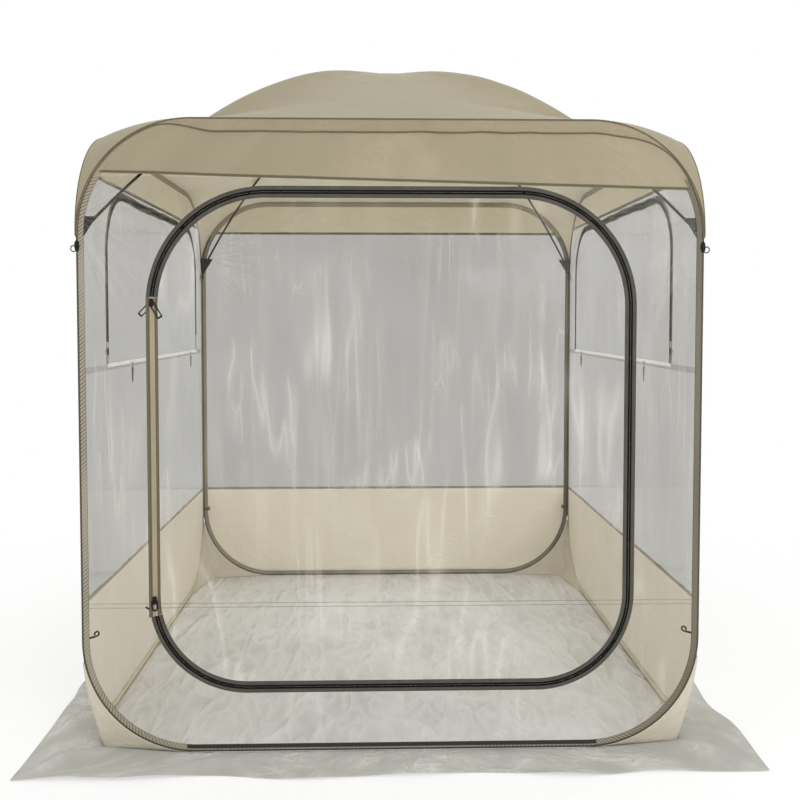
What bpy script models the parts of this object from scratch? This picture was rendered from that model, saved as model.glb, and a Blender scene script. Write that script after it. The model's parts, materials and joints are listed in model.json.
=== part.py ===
"""Clear pop-up tent: four spring-steel hoops in fabric sleeves, clear film walls, a cloth dome on two crossed rods.

Metres, +Z up. The origin is on the ground under the middle of the floor, and the door faces -Y.
"""

import math

import bmesh
import bpy
from mathutils import Matrix, Vector

# Driving dimensions
tent_width = 1.800
hoop_height = 1.830
hoop_radius = 0.330
crown_height = 2.180

# Clearances
gap = 0.0003
seam_gap = 0.0005
socket_clearance = 0.00035
slide_clearance = 0.0004
cut_overrun = 0.010
join_overlap = 0.0006

# Sheet goods
film_thickness = 0.0005
cloth_thickness = 0.00065
floor_thickness = 0.0010
canopy_thickness = 0.0008
skirt_thickness = 0.0008
gusset_thickness = 0.0008

# Hoops and their sleeves
steel_width = 0.008
steel_thickness = 0.0016
sleeve_width = 0.022
sleeve_depth = 0.0042
sleeve_wall = 0.0010
panel_tuck = 0.010
hoop_steps = 8

# Upper and lower cloth bands of the walls
front_hem_height = 1.655
side_hem_height = 1.690
back_hem_height = 1.675
lower_band_top = 0.440
band_lap = 0.012

# Zips: a tape each side of a slot, with the coil along the slot
tape_thickness = 0.0008
coil_width = 0.0034
coil_height = 0.00125
slot_width = 0.0016
film_setback = 0.006
zip_steps = 18
strip_steps = 2

# Door in the front wall, measured to the middle of its zip
door_half_width = 0.689
door_low = 0.192
door_high = 1.625
door_low_radius = 0.268
door_high_radius = 0.328
door_tape_width = 0.017
upper_zip_start_angle = 5
lower_zip_start_angle = 12

# Windows in the side walls, measured to the middle of their zips
window_front = -0.620
window_back = 0.750
window_sill = 1.120
window_high = 1.668
window_radius = 0.200
window_tape_width = 0.014
window_steps = 10
tab_height = 0.070
tab_join = 0.004
seam_strip_height = 0.020
seam_strip_end = 0.006

# Zip sliders
slider_width = 0.013
slider_length = 0.024
slider_corner = 0.004
plate_thickness = 0.0010
web_width = 0.0006
web_length = 0.010
arch_length = 0.0100
arch_width = 0.0018
arch_thickness = 0.0011
arch_inside = 0.0030
slider_angle = 2.2
window_slider_height = 0.040
window_pull_width = 0.010
window_pull_length = 0.024

# Pulls that hang on the sliders
pull_thickness = 0.0016
pull_bar = 0.0018
frame_pull_length = 0.052
frame_pull_width = 0.016
frame_pull_slot = 0.0090
frame_pull_foot = 0.0050
frame_pull_corner = 0.0030
ring_pull_length = 0.032
ring_pull_width = 0.019
ring_pull_slot = 0.0100
ring_pull_foot = 0.0045
tee_eye_length = 0.013
tee_eye_width = 0.015
tee_eye_slot = 0.0095
tee_stem_width = 0.0055
tee_stem_length = 0.017
tee_bar_length = 0.026
tee_bar_height = 0.006
slot_corner = 0.0020
upper_outer_tilt = 33
upper_inner_tilt = -42
lower_outer_tilt = 0
lower_inner_tilt = -33

# Crossed roof rods and the pockets that take their ends
rod_radius = 0.00425
rod_end_rise = 0.0087
rod_end_inset = 0.0126
rod_crossing_gap = 0.0005
rod_steps = 12
pocket_leg = 0.052
pocket_tip = 0.005
pocket_height = 0.070
pocket_rise = 0.010
socket_sides = 12

# Roof canopy
canopy_flat_steps = 6
canopy_arc_steps = 8
canopy_rod_cover = 0.012
canopy_apron = 0.037
canopy_bend_apron = 0.014
canopy_crown_lift = 0.009
canopy_crown_reach = 0.120
canopy_rise_power = 1.25
canopy_belly_share = 0.15
canopy_edge_power = 3

# Corner gussets, floor and skirt
floor_corner_inset = 0.045
gusset_start = 0.020
gusset_steps = 7
skirt_width = 0.150
skirt_ripple = 0.011
skirt_wander = 0.009
skirt_corner_steps = 3
skirt_middle_steps = 12
skirt_rows = 4

# Corner hooks
hook_height = 0.335
hook_strap_length = 0.030
hook_strap_width = 0.008
hook_strap_thickness = 0.0014
hook_radius = 0.0068
hook_wire = 0.0014
hook_shank = 0.006
hook_turn = 285
hook_steps = 13

# Toggles at the window sills
toggle_front = -0.320
toggle_back = 0.650
toggle_knot_radius = 0.0034
toggle_knot_height = 0.0070
toggle_neck_radius = 0.0012
toggle_neck_length = 0.0080
toggle_radius = 0.0040
toggle_tip_radius = 0.0024
toggle_shoulder = 0.0060
toggle_length = 0.0550
toggle_sides = 10

# Places that follow from the sizes above
half_width = tent_width / 2
ground_clear = floor_thickness + gap
wall_plane = half_width - sleeve_depth / 2
side_half_width = half_width - sleeve_depth - gap
hoop_top = ground_clear + hoop_height
arc_top_level = hoop_top - hoop_radius
arc_low_level = ground_clear + hoop_radius
corner_inside = half_width - sleeve_depth - gap
film_outer = -gap / 2
film_inner = film_outer - film_thickness
cloth_inner = gap / 2
cloth_outer = cloth_inner + cloth_thickness
tape_inner = gap / 2
tape_outer = tape_inner + tape_thickness
coil_top = tape_outer + coil_height
door_fold = -door_half_width - door_tape_width
rod_end = math.sqrt(2) * (half_width - rod_end_inset)
rod_drop = crown_height - arc_top_level - rod_end_rise
rod_curve = rod_drop / rod_end**2

wall_turns = {"front": 0, "right": 90, "back": 180, "left": 270}
hem_heights = {
    "front": front_hem_height,
    "right": side_hem_height,
    "back": back_hem_height,
    "left": side_hem_height,
}
corner_signs = {
    "front_left": (-1, -1),
    "front_right": (1, -1),
    "back_left": (-1, 1),
    "back_right": (1, 1),
}


def clear_scene():
    for old in list(bpy.data.objects):
        bpy.data.objects.remove(old)


def new_collection(name, hidden=False):
    made = bpy.data.collections.new(name)
    made.hide_render = hidden
    bpy.context.scene.collection.children.link(made)
    return made


clear_scene()
parts = new_collection("clear_tent")
helpers = new_collection("cutters_and_guides", hidden=True)


def principled(name, colour, roughness, metallic=0.0, alpha=1.0):
    made = bpy.data.materials.new(name)
    made.use_nodes = True
    shader = made.node_tree.nodes["Principled BSDF"]
    shader.inputs["Base Color"].default_value = (*colour, 1.0)
    shader.inputs["Roughness"].default_value = roughness
    shader.inputs["Metallic"].default_value = metallic
    shader.inputs["Alpha"].default_value = alpha
    return made


steel = principled("spring_steel", (0.55, 0.55, 0.56), 0.35, metallic=1.0)
sleeve_cloth = principled("sleeve_cloth", (0.24, 0.22, 0.17), 0.85)
roof_cloth = principled("roof_cloth", (0.47, 0.42, 0.30), 0.80)
band_cloth = principled("band_cloth", (0.62, 0.56, 0.43), 0.80)
clear_film = principled("clear_film", (0.86, 0.88, 0.87), 0.12, alpha=0.25)
zip_cloth = principled("zip_cloth", (0.035, 0.033, 0.035), 0.70)
hinge_cloth = principled("hinge_cloth", (0.22, 0.19, 0.13), 0.80)
seam_cloth = principled("seam_cloth", (0.70, 0.69, 0.64), 0.60)
floor_cloth = principled("floor_cloth", (0.52, 0.52, 0.50), 0.75)
skirt_cloth = principled("skirt_cloth", (0.60, 0.59, 0.53), 0.80)
rod_fibre = principled("rod_fibre", (0.02, 0.02, 0.022), 0.35)
black_plastic = principled("black_plastic", (0.015, 0.015, 0.016), 0.45)
black_webbing = principled("black_webbing", (0.03, 0.03, 0.032), 0.85)


def arc(centre, radius, start, end, steps):
    """Points on a circle from one angle to another, in degrees."""
    points = []
    for step in range(steps + 1):
        angle = math.radians(start + (end - start) * step / steps)
        points.append((centre[0] + radius * math.cos(angle), centre[1] + radius * math.sin(angle)))
    return points


def rounded_loop(left, right, low, high, low_radius, high_radius, steps):
    """Corner points of a rounded rectangle, anticlockwise from its lower left."""
    points = arc((left + low_radius, low + low_radius), low_radius, 180, 270, steps)
    points += arc((right - low_radius, low + low_radius), low_radius, 270, 360, steps)
    points += arc((right - high_radius, high - high_radius), high_radius, 0, 90, steps)
    points += arc((left + high_radius, high - high_radius), high_radius, 90, 180, steps)
    return points


def clipped(loop, low, high):
    """The part of a loop between two levels."""
    for level, keep_above in ((low, True), (high, False)):
        kept = []
        for here, there in zip(loop, loop[1:] + loop[:1]):
            here_in = (here[1] >= level) == keep_above
            there_in = (there[1] >= level) == keep_above
            if here_in:
                kept.append(here)
            if here_in != there_in:
                share = (level - here[1]) / (there[1] - here[1])
                kept.append((here[0] + share * (there[0] - here[0]), level))
        loop = kept
    return loop


def mirrored(loop):
    """The loop turned over from side to side."""
    return [(-across, up) for across, up in reversed(loop)]


def clockwise(loop):
    area = sum(a[0] * b[1] - b[0] * a[1] for a, b in zip(loop, loop[1:] + loop[:1]))
    return loop if area < 0 else loop[::-1]


def place(obj, matrix, material):
    obj.matrix_world = matrix
    obj.data.materials.append(material)
    return obj


def curve_object(name, loops, cyclic=True, dimensions="2D", home=None):
    curve = bpy.data.curves.new(name, "CURVE")
    curve.dimensions = dimensions
    for loop in loops:
        spline = curve.splines.new("POLY")
        spline.points.add(len(loop) - 1)
        for point, at in zip(spline.points, loop):
            point.co = (*at, 0, 1) if len(at) == 2 else (*at, 1)
        spline.use_cyclic_u = cyclic
    made = bpy.data.objects.new(name, curve)
    (home or parts).objects.link(made)
    return made


def sheet(name, loops, low, high, matrix, material, home=None):
    """A flat piece: outlines filled and given a thickness between two levels of its own plane."""
    made = curve_object(name, loops, home=home)
    made.data.fill_mode = "BOTH"
    made.data.extrude = (high - low) / 2
    return place(made, matrix @ Matrix.Translation((0, 0, (low + high) / 2)), material)


def swept(name, path, profile, matrix, material, cyclic=True, home=None):
    """A profile drawn along a flat path; the profile's first axis points into the loop."""
    guide = curve_object(name + "_profile", [clockwise(profile)], home=helpers)
    guide.hide_render = True
    guide.display_type = "WIRE"
    made = curve_object(name, [path], cyclic=cyclic, home=home)
    made.data.bevel_mode = "OBJECT"
    made.data.bevel_object = guide
    made.data.use_fill_caps = not cyclic
    return place(made, matrix, material)


def tube(name, points, radius, resolution, material, home=None):
    made = curve_object(name, [points], cyclic=False, dimensions="3D", home=home)
    made.data.bevel_depth = radius
    made.data.bevel_resolution = resolution
    made.data.use_fill_caps = True
    return place(made, Matrix(), material)


def as_mesh(obj):
    """The evaluated object as a welded mesh with the same name and place."""
    bpy.context.view_layer.update()
    graph = bpy.context.evaluated_depsgraph_get()
    mesh = bpy.data.meshes.new_from_object(obj.evaluated_get(graph))
    shape = bmesh.new()
    shape.from_mesh(mesh)
    bmesh.ops.remove_doubles(shape, verts=shape.verts, dist=slide_clearance / 100)
    bmesh.ops.recalc_face_normals(shape, faces=shape.faces)
    shape.to_mesh(mesh)
    shape.free()
    name, matrix, home = obj.name, obj.matrix_world.copy(), obj.users_collection[0]
    bpy.data.objects.remove(obj)
    made = bpy.data.objects.new(name, mesh)
    made.matrix_world = matrix
    home.objects.link(made)
    return made


def block(name, size, centre, matrix, material, home=None):
    mesh = bpy.data.meshes.new(name)
    shape = bmesh.new()
    bmesh.ops.create_cube(shape, size=1)
    bmesh.ops.scale(shape, vec=size, verts=shape.verts)
    shape.to_mesh(mesh)
    shape.free()
    made = bpy.data.objects.new(name, mesh)
    (home or parts).objects.link(made)
    return place(made, matrix @ Matrix.Translation(centre), material)


def combine(body, others, operation):
    """Joins others to the body, or cuts them from it."""
    for other in others:
        other.hide_render = True
        other.display_type = "WIRE"
        step = body.modifiers.new(other.name, "BOOLEAN")
        step.operation = operation
        step.solver = "EXACT"
        step.object = other
    return body


def pivot(name, at):
    """An empty on a joint's axis."""
    empty = bpy.data.objects.new(name, None)
    empty.matrix_world = Matrix.Translation(at)
    parts.objects.link(empty)
    return empty


def hang(children, empty):
    for child in children:
        child.parent = empty
        child.matrix_parent_inverse = Matrix.Translation(-empty.matrix_world.translation)


def wall_frame(wall):
    """The wall's own frame: across, up and outwards, from the foot of its middle plane."""
    turn = Matrix.Rotation(math.radians(wall_turns[wall]), 4, "Z")
    return turn @ Matrix.Translation((0, -wall_plane, 0)) @ Matrix.Rotation(math.radians(90), 4, "X")


def wall_half(wall):
    return half_width if wall in ("front", "back") else side_half_width


def hoop_loop(wall, inset):
    half = wall_half(wall) - inset
    radius = hoop_radius - inset
    return rounded_loop(-half, half, ground_clear + inset, hoop_top - inset, radius, radius, hoop_steps)


def make_hoops():
    """A spring-steel band round each wall, inside an open sleeve whose lips take the wall's edge."""
    half_steel = steel_thickness / 2
    band = [(0, -half_steel), (steel_width, -half_steel), (steel_width, half_steel), (0, half_steel)]
    face, lip = sleeve_depth / 2, sleeve_depth / 2 - sleeve_wall
    channel = [(0, -face), (sleeve_width, -face), (sleeve_width, -lip), (sleeve_wall, -lip)]
    channel += [(across, -up) for across, up in reversed(channel)]
    for wall in wall_turns:
        matrix = wall_frame(wall)
        swept(wall + "_hoop", hoop_loop(wall, sleeve_wall + gap), band, matrix, steel)
        swept(wall + "_hoop_sleeve", hoop_loop(wall, 0), channel, matrix, sleeve_cloth)


def window_sign(wall):
    """Which way along the wall's own frame the front of the tent lies."""
    return 1 if wall == "right" else -1


def window_side(wall, loop):
    return loop if wall == "right" else mirrored(loop)


def door_hole():
    """The opening in the front film: round the door's zip, and clear of the hinge strip at the left."""
    half, low, high = door_half_width + film_setback, door_low - film_setback, door_high + film_setback
    low_radius, high_radius = door_low_radius + film_setback, door_high_radius + film_setback
    upper_start = upper_zip_start_angle + math.degrees(gap / door_high_radius)
    lower_start = lower_zip_start_angle + math.degrees(gap / door_low_radius)
    edge = door_fold - gap
    upper, lower = (high_radius - half, high - high_radius), (low_radius - half, low + low_radius)
    upper_rise, lower_rise = math.tan(math.radians(upper_start)), math.tan(math.radians(lower_start))
    loop = arc(lower, low_radius, 180 + lower_start, 270, hoop_steps)
    loop += arc((half - low_radius, lower[1]), low_radius, 270, 360, hoop_steps)
    loop += arc((half - high_radius, upper[1]), high_radius, 0, 90, hoop_steps)
    loop += arc(upper, high_radius, 90, 180 - upper_start, hoop_steps)
    loop.append((edge, upper[1] + (upper[0] - edge) * upper_rise))
    loop.append((edge, lower[1] - (lower[0] - edge) * lower_rise))
    return loop


def window_hole():
    """The opening in a side film, wider beside the two zip ends."""
    front, back = window_front - film_setback, window_back + film_setback
    high, radius = window_high + film_setback, window_radius + film_setback
    sill = window_sill - seam_strip_height / 2
    step = window_sill + tab_height + gap
    spread = window_tape_width + gap
    loop = [(window_front - spread, sill), (window_back + spread, sill), (window_back + spread, step)]
    loop += [(back, step)]
    loop += arc((back - radius, high - radius), radius, 0, 90, hoop_steps)
    loop += arc((front + radius, high - radius), radius, 90, 180, hoop_steps)
    loop += [(front, step), (window_front - spread, step)]
    return loop


def make_walls():
    """Clear film inside, with cloth bands outside it along the top and, except at the front, the foot."""
    for wall in wall_turns:
        matrix = wall_frame(wall)
        panel = hoop_loop(wall, sleeve_width - panel_tuck)
        hem = hem_heights[wall]
        cloth = clipped(panel, hem, hoop_top)
        sheet(wall + "_upper_band", [cloth], cloth_inner, cloth_outer, matrix, roof_cloth)
        low = 0 if wall == "front" else lower_band_top - band_lap
        film = [clipped(panel, low, hem + band_lap)]
        if wall == "front":
            film.append(door_hole())
        else:
            cloth = clipped(panel, 0, lower_band_top)
            sheet(wall + "_lower_band", [cloth], cloth_inner, cloth_outer, matrix, band_cloth)
        if wall in ("left", "right"):
            film.append(window_side(wall, window_hole()))
        sheet(wall + "_wall_film", film, film_inner, film_outer, matrix, clear_film)


def tape_profile(width, side):
    """Half a zip: flat tape with the coil along its slot edge. Side 1 lies inside the loop."""
    inner, coil = slot_width / 2, slot_width / 2 + coil_width
    points = [(inner, tape_inner), (width, tape_inner), (width, tape_outer), (coil, tape_outer)]
    points += [(coil, coil_top), (inner, coil_top)]
    return [(side * across, up) for across, up in points]


def door_arc_centres():
    left = -door_half_width
    return {
        "upper": (left + door_high_radius, door_high - door_high_radius),
        "lower": (left + door_low_radius, door_low + door_low_radius),
    }


def door_zip_path():
    """The middle of the door's zip, clockwise from the top of the hinge strip to its foot."""
    centres = door_arc_centres()
    upper, lower = centres["upper"], centres["lower"]
    path = arc(upper, door_high_radius, 180 - upper_zip_start_angle, 90, zip_steps)
    path += arc((-upper[0], upper[1]), door_high_radius, 90, 0, zip_steps)
    path += arc((-lower[0], lower[1]), door_low_radius, 0, -90, zip_steps)
    path += arc(lower, door_low_radius, -90, lower_zip_start_angle - 180, zip_steps)
    return path


def hinge_strip_end(centre, radius, zip_start, up):
    """One end of the hinge strip: its edges bend with the zip, with a slot for the slider between them."""
    start = zip_start - math.degrees(gap / radius)
    square = math.radians(180 - up * (zip_start + (90 - zip_start) / zip_steps / 2))
    foot = arc(centre, radius, 180, 180 - up * start, 1)[1]
    edge = door_fold + gap

    def bend(offset):
        points = arc(centre, radius + offset, 180, 180 - up * start, strip_steps)[:-1]
        return points + [(foot[0] + offset * math.cos(square), foot[1] + offset * math.sin(square))]

    points = bend(-door_tape_width) + bend(-slot_width / 2)[::-1] + bend(slot_width / 2)
    points.append((edge, foot[1] + (edge - foot[0]) * math.tan(square)))
    return points


def slider_plate_loop(width, length):
    return rounded_loop(-width / 2, width / 2, -length / 2, length / 2, slider_corner, slider_corner, 3)


def arch_loop(base):
    """Side view of the bridge that a pull hangs on."""
    outer, inner = arch_length / 2, arch_length / 2 - arch_thickness
    foot, roof = base - join_overlap, base + arch_inside
    top = roof + arch_thickness
    return [(-outer, foot), (-inner, foot), (-inner, roof), (inner, roof)] + [
        (inner, foot),
        (outer, foot),
        (outer, top),
        (-outer, top),
    ]


plate_face = coil_top + slide_clearance + plate_thickness
back_face = film_inner - slide_clearance - plate_thickness


def make_slider(name, matrix, two_sided, tail=0):
    """Two plates joined by a web that runs in the zip's slot, each with a bridge for its pull."""
    loop = slider_plate_loop(slider_width, slider_length)
    front = as_mesh(sheet(name, [loop], plate_face - plate_thickness, plate_face, matrix, black_plastic))
    back = sheet(
        name + "_back", [loop], back_face, back_face + plate_thickness, matrix, black_plastic, helpers
    )
    reach = plate_face - back_face - plate_thickness
    web = block(
        name + "_web",
        (web_width, web_length, reach),
        (0, 0, (plate_face + back_face) / 2),
        matrix,
        black_plastic,
        helpers,
    )
    others = [web, as_mesh(back)]
    upright = Matrix.Rotation(math.radians(90), 4, "Z") @ Matrix.Rotation(math.radians(90), 4, "X")
    for side in (1, -1) if two_sided else (1,):
        turned = matrix @ (Matrix() if side == 1 else Matrix.Rotation(math.pi, 4, "Y"))
        base = plate_face if side == 1 else -back_face
        half = arch_width / 2
        bridge = sheet(
            f"{name}_bridge{side}",
            [arch_loop(base)],
            -half,
            half,
            turned @ upright,
            black_plastic,
            helpers,
        )
        others.append(as_mesh(bridge))
    if tail:
        others.append(
            block(
                name + "_tail",
                (window_pull_width, tail, plate_thickness),
                (0, -slider_length / 2 - tail / 2 + join_overlap, plate_face - plate_thickness / 2),
                matrix,
                black_plastic,
                helpers,
            )
        )
    return combine(front, others, "UNION")


def pull_frame(slider_matrix, side, tilt):
    """Where a pull hangs: its bar under the slider's bridge, leaning sideways by the tilt."""
    turned = slider_matrix @ (Matrix() if side == 1 else Matrix.Rotation(math.pi, 4, "Y"))
    base = plate_face if side == 1 else -back_face
    lean = Matrix.Rotation(math.radians(tilt * side), 4, "Z")
    return turned @ Matrix.Translation((0, 0, base + arch_inside / 2)) @ lean


def make_pull(name, loops, matrix):
    return sheet(name, loops, -pull_thickness / 2, pull_thickness / 2, matrix, black_plastic)


def frame_pull_loops():
    top, width = pull_bar / 2, frame_pull_width / 2
    body = rounded_loop(-width, width, top - frame_pull_length, top, frame_pull_corner, slot_corner / 2, 2)
    slot = frame_pull_slot / 2
    low = top - frame_pull_length + frame_pull_foot
    hole = rounded_loop(-slot, slot, low, -top, slot_corner, slot_corner / 2, 2)
    return [body, hole]


def ring_pull_loops():
    top, width = pull_bar / 2, ring_pull_width / 2
    body = rounded_loop(-width, width, top - ring_pull_length, top, width, frame_pull_corner, 5)
    slot = ring_pull_slot / 2
    low = top - ring_pull_length + ring_pull_foot
    hole = rounded_loop(-slot, slot, low, -top, slot, slot_corner / 2, 5)
    return [body, hole]


def tee_pull_loops():
    """An eye, a stem and a crossbar."""
    top, eye, stem, bar = pull_bar / 2, tee_eye_width / 2, tee_stem_width / 2, tee_bar_length / 2
    shoulder = top - tee_eye_length
    under = shoulder - tee_stem_length
    foot = under - tee_bar_height
    right = [(bar, foot), (bar, under), (stem, under), (stem, shoulder), (eye, shoulder), (eye, top)]
    body = [(-across, up) for across, up in right] + right[::-1]
    slot = tee_eye_slot / 2
    hole = rounded_loop(-slot, slot, shoulder + pull_bar, -top, slot_corner, slot_corner / 2, 2)
    return [body, hole]


def make_door():
    """Clear door with half the zip round it, folding on a cloth strip at its left edge."""
    matrix = wall_frame("front")
    inset = film_setback
    film = rounded_loop(
        inset - door_half_width,
        door_half_width - inset,
        door_low + inset,
        door_high - inset,
        door_low_radius - inset,
        door_high_radius - inset,
        hoop_steps,
    )
    panel = sheet("door_film", [film], film_inner, film_outer, matrix, clear_film)
    centres = door_arc_centres()
    strip = hinge_strip_end(centres["upper"], door_high_radius, upper_zip_start_angle, 1)
    strip += hinge_strip_end(centres["lower"], door_low_radius, lower_zip_start_angle, -1)[::-1]
    hinge = sheet("door_hinge_strip", [strip], tape_inner, tape_outer, matrix, hinge_cloth)
    path = door_zip_path()
    inner = tape_profile(door_tape_width, 1)
    tape = swept("door_zip_tape", path, inner, matrix, zip_cloth, cyclic=False)
    outer = tape_profile(door_tape_width, -1)
    swept("door_zip_frame_tape", path, outer, matrix, zip_cloth, cyclic=False)
    hinge_line = pivot("door_hinge_line", matrix @ Vector((door_fold, (door_low + door_high) / 2, coil_top)))
    hang([panel, hinge, tape], hinge_line)


def make_door_sliders():
    """A slider at each end of the door's zip, parked where the corner bends begin."""
    matrix = wall_frame("front")
    pulls = {
        ("upper", 1): ("upper_outer_pull", frame_pull_loops(), upper_outer_tilt),
        ("upper", -1): ("upper_inner_pull", frame_pull_loops(), upper_inner_tilt),
        ("lower", 1): ("lower_outer_pull", ring_pull_loops(), lower_outer_tilt),
        ("lower", -1): ("lower_inner_pull", tee_pull_loops(), lower_inner_tilt),
    }
    radii = {"upper": door_high_radius, "lower": door_low_radius}
    for end, centre in door_arc_centres().items():
        turn = -slider_angle if end == "upper" else slider_angle
        at_centre = matrix @ Matrix.Translation((*centre, 0))
        swing = Matrix.Rotation(math.radians(turn), 4, "Z")
        seat = at_centre @ swing @ Matrix.Translation((-radii[end], 0, 0))
        body = make_slider(end + "_slider", seat, two_sided=True)
        hang([body], pivot(end + "_slider_bend", at_centre.translation))
        for side in (1, -1):
            name, loops, tilt = pulls[end, side]
            pull_matrix = pull_frame(seat, side, tilt)
            hang([make_pull(name, loops, pull_matrix)], pivot(name + "_bar", pull_matrix.translation))


def window_zip_path():
    """The middle of a window's zip, clockwise from the head of its front tab over to the back one."""
    low = window_sill + tab_height
    centre = window_high - window_radius
    path = [(window_front, low)]
    path += arc((window_front + window_radius, centre), window_radius, 180, 90, window_steps)
    path += arc((window_back - window_radius, centre), window_radius, 90, 0, window_steps)
    path += [(window_back, low)]
    return path


def window_tab(leg):
    """The sewn end of a window's zip: both halves of the tape, with a slot left for the slider."""
    half, slot = window_tape_width, slot_width / 2
    low, high = window_sill + gap, window_sill + tab_height
    slot_foot = window_sill + window_slider_height - slider_length / 2
    loop = [(leg - half, low), (leg + half, low), (leg + half, high), (leg + slot, high)]
    loop += [(leg + slot, slot_foot), (leg - slot, slot_foot), (leg - slot, high), (leg - half, high)]
    return loop


def make_window(wall):
    """A clear flap held by an arched zip, folding out and down on the seam strip under it."""
    matrix = wall_frame(wall)
    inset = film_setback
    low, step = window_sill + gap, window_sill + tab_height
    front, back = window_front + inset, window_back - inset
    radius, high = window_radius - inset, window_high - inset
    film = [(front, low), (back, low)]
    film += arc((back - radius, high - radius), radius, 0, 90, hoop_steps)
    film += arc((front + radius, high - radius), radius, 90, 180, hoop_steps)
    panel = sheet(
        wall + "_window_film", [window_side(wall, film)], film_inner, film_outer, matrix, clear_film
    )
    path = window_zip_path()
    flap_path = [(path[0][0], step - tab_join)] + path[1:-1] + [(path[-1][0], step - tab_join)]
    frame_path = [(path[0][0], step + gap)] + path[1:-1] + [(path[-1][0], step + gap)]
    if wall == "left":
        flap_path, frame_path = mirrored(flap_path), mirrored(frame_path)
    inner, outer = tape_profile(window_tape_width, 1), tape_profile(window_tape_width, -1)
    tape = as_mesh(swept(wall + "_window_zip_tape", flap_path, inner, matrix, zip_cloth, cyclic=False))
    tabs = [
        as_mesh(
            sheet(
                f"{wall}_window_tab{number}",
                [window_side(wall, window_tab(leg))],
                tape_inner,
                tape_outer,
                matrix,
                zip_cloth,
                helpers,
            )
        )
        for number, leg in enumerate((window_front, window_back))
    ]
    combine(tape, tabs, "UNION")
    swept(wall + "_window_frame_tape", frame_path, outer, matrix, zip_cloth, cyclic=False)
    reach = side_half_width - sleeve_width - seam_strip_end
    strip_low = window_sill - seam_strip_height
    strip = [(-reach, strip_low), (reach, strip_low), (reach, window_sill - gap), (-reach, window_sill - gap)]
    sheet(wall + "_window_seam_strip", [strip], tape_inner, tape_outer, matrix, seam_cloth)
    sill = pivot(wall + "_window_sill_line", matrix @ Vector((0, window_sill, coil_top)))
    hang([panel, tape], sill)
    leg = window_front * window_sign(wall)
    seat = matrix @ Matrix.Translation((leg, window_sill + window_slider_height, 0))
    slider = make_slider(wall + "_window_slider", seat, two_sided=False, tail=window_pull_length)
    hang([slider], sill)


def make_toggle(name, wall, along):
    """A tapered bar on a knotted cord, turned about its own length."""
    matrix = wall_frame(wall)
    neck = toggle_knot_height / 2 + toggle_neck_length
    shoulder = neck + toggle_shoulder
    foot = neck + toggle_length
    profile = [
        (0, toggle_knot_height / 2),
        (toggle_knot_radius, toggle_knot_height / 2),
        (toggle_knot_radius, -toggle_knot_height / 2),
        (toggle_neck_radius, -toggle_knot_height / 2 - toggle_neck_radius),
        (toggle_neck_radius, -neck),
        (toggle_radius, -shoulder),
        (toggle_tip_radius, -foot),
        (0, -foot),
    ]
    mesh = bpy.data.meshes.new(name)
    mesh.from_pydata([(across, 0, up) for across, up in profile], [(i, i + 1) for i in range(7)], [])
    made = bpy.data.objects.new(name, mesh)
    parts.objects.link(made)
    turn = made.modifiers.new("turned", "SCREW")
    turn.steps = turn.render_steps = toggle_sides
    turn.use_merge_vertices = True
    turn.merge_threshold = slide_clearance / 100
    level = window_sill - seam_strip_height / 2
    out = tape_outer + gap + max(toggle_knot_radius, toggle_radius)
    at = matrix @ Vector((along * window_sign(wall), level, out))
    return place(made, Matrix.Translation(at), black_plastic)


def rod_height(along, lowered=0):
    """Height of a roof rod's axis at a distance from the middle, measured over the ground."""
    crown = crown_height - lowered
    return crown - (rod_drop - lowered) * (along / rod_end) ** 2


rod_drops = {"roof_pole_a": (1, 0), "roof_pole_b": (-1, 2 * rod_radius + rod_crossing_gap)}


def make_rods():
    """Two rods bent from corner to corner, the second passing under the first."""
    for name, (side, lowered) in rod_drops.items():
        points = []
        for step in range(-rod_steps, rod_steps + 1):
            along = rod_end * step / rod_steps
            flat = along / math.sqrt(2)
            points.append((flat, side * flat, rod_height(along, lowered)))
        tube(name, points, rod_radius, 2, rod_fibre)


def make_pockets():
    """A stitched webbing pocket inside each corner post, with a socket for the rod's end."""
    leg, tip, inside = pocket_leg, pocket_tip, corner_inside
    end_height = rod_height(rod_end)
    flat = rod_end / math.sqrt(2)
    for corner, (side_x, side_y) in corner_signs.items():
        loop = [(inside, inside), (inside - leg, inside), (inside - leg, inside - tip)]
        loop += [(inside - tip, inside - leg), (inside, inside - leg)]
        loop = [(side_x * x, side_y * y) for x, y in loop]
        low = end_height - pocket_height / 2 + pocket_rise
        name = "pole_pocket_" + corner
        pocket = as_mesh(sheet(name, [loop], low, low + pocket_height, Matrix(), black_webbing))
        rod = "roof_pole_a" if side_x == side_y else "roof_pole_b"
        last_step = rod_end / rod_steps
        climb = rod_height(rod_end - last_step, rod_drops[rod][1]) - end_height
        inward = Vector((-side_x, -side_y, 0)).normalized()
        rise = (inward * last_step + Vector((0, 0, climb))).normalized()
        start = Vector((side_x * flat, side_y * flat, end_height)) - rise * socket_clearance
        bore = bpy.data.meshes.new(name + "_socket")
        shape = bmesh.new()
        radius = rod_radius + socket_clearance
        bmesh.ops.create_cone(
            shape, cap_ends=True, segments=socket_sides, radius1=radius, radius2=radius, depth=pocket_leg
        )
        shape.to_mesh(bore)
        shape.free()
        cutter = bpy.data.objects.new(name + "_socket", bore)
        helpers.objects.link(cutter)
        upright = rise.to_track_quat("Z", "Y").to_matrix().to_4x4()
        cutter.matrix_world = Matrix.Translation(start + rise * pocket_leg / 2) @ upright
        combine(pocket, [cutter], "DIFFERENCE")


def canopy_place(share):
    """Distance from the middle for a grid line: even over the hoop's flat top, then round its bend."""
    edge = half_width + gap
    radius = hoop_radius + gap
    flat_share = canopy_flat_steps / (canopy_flat_steps + canopy_arc_steps)
    size, sign = abs(share), math.copysign(1, share)
    if size <= flat_share:
        return sign * (edge - radius) * size / flat_share
    bend = math.radians(90) * (size - flat_share) / (1 - flat_share)
    return sign * (edge - radius + radius * math.sin(bend))


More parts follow.
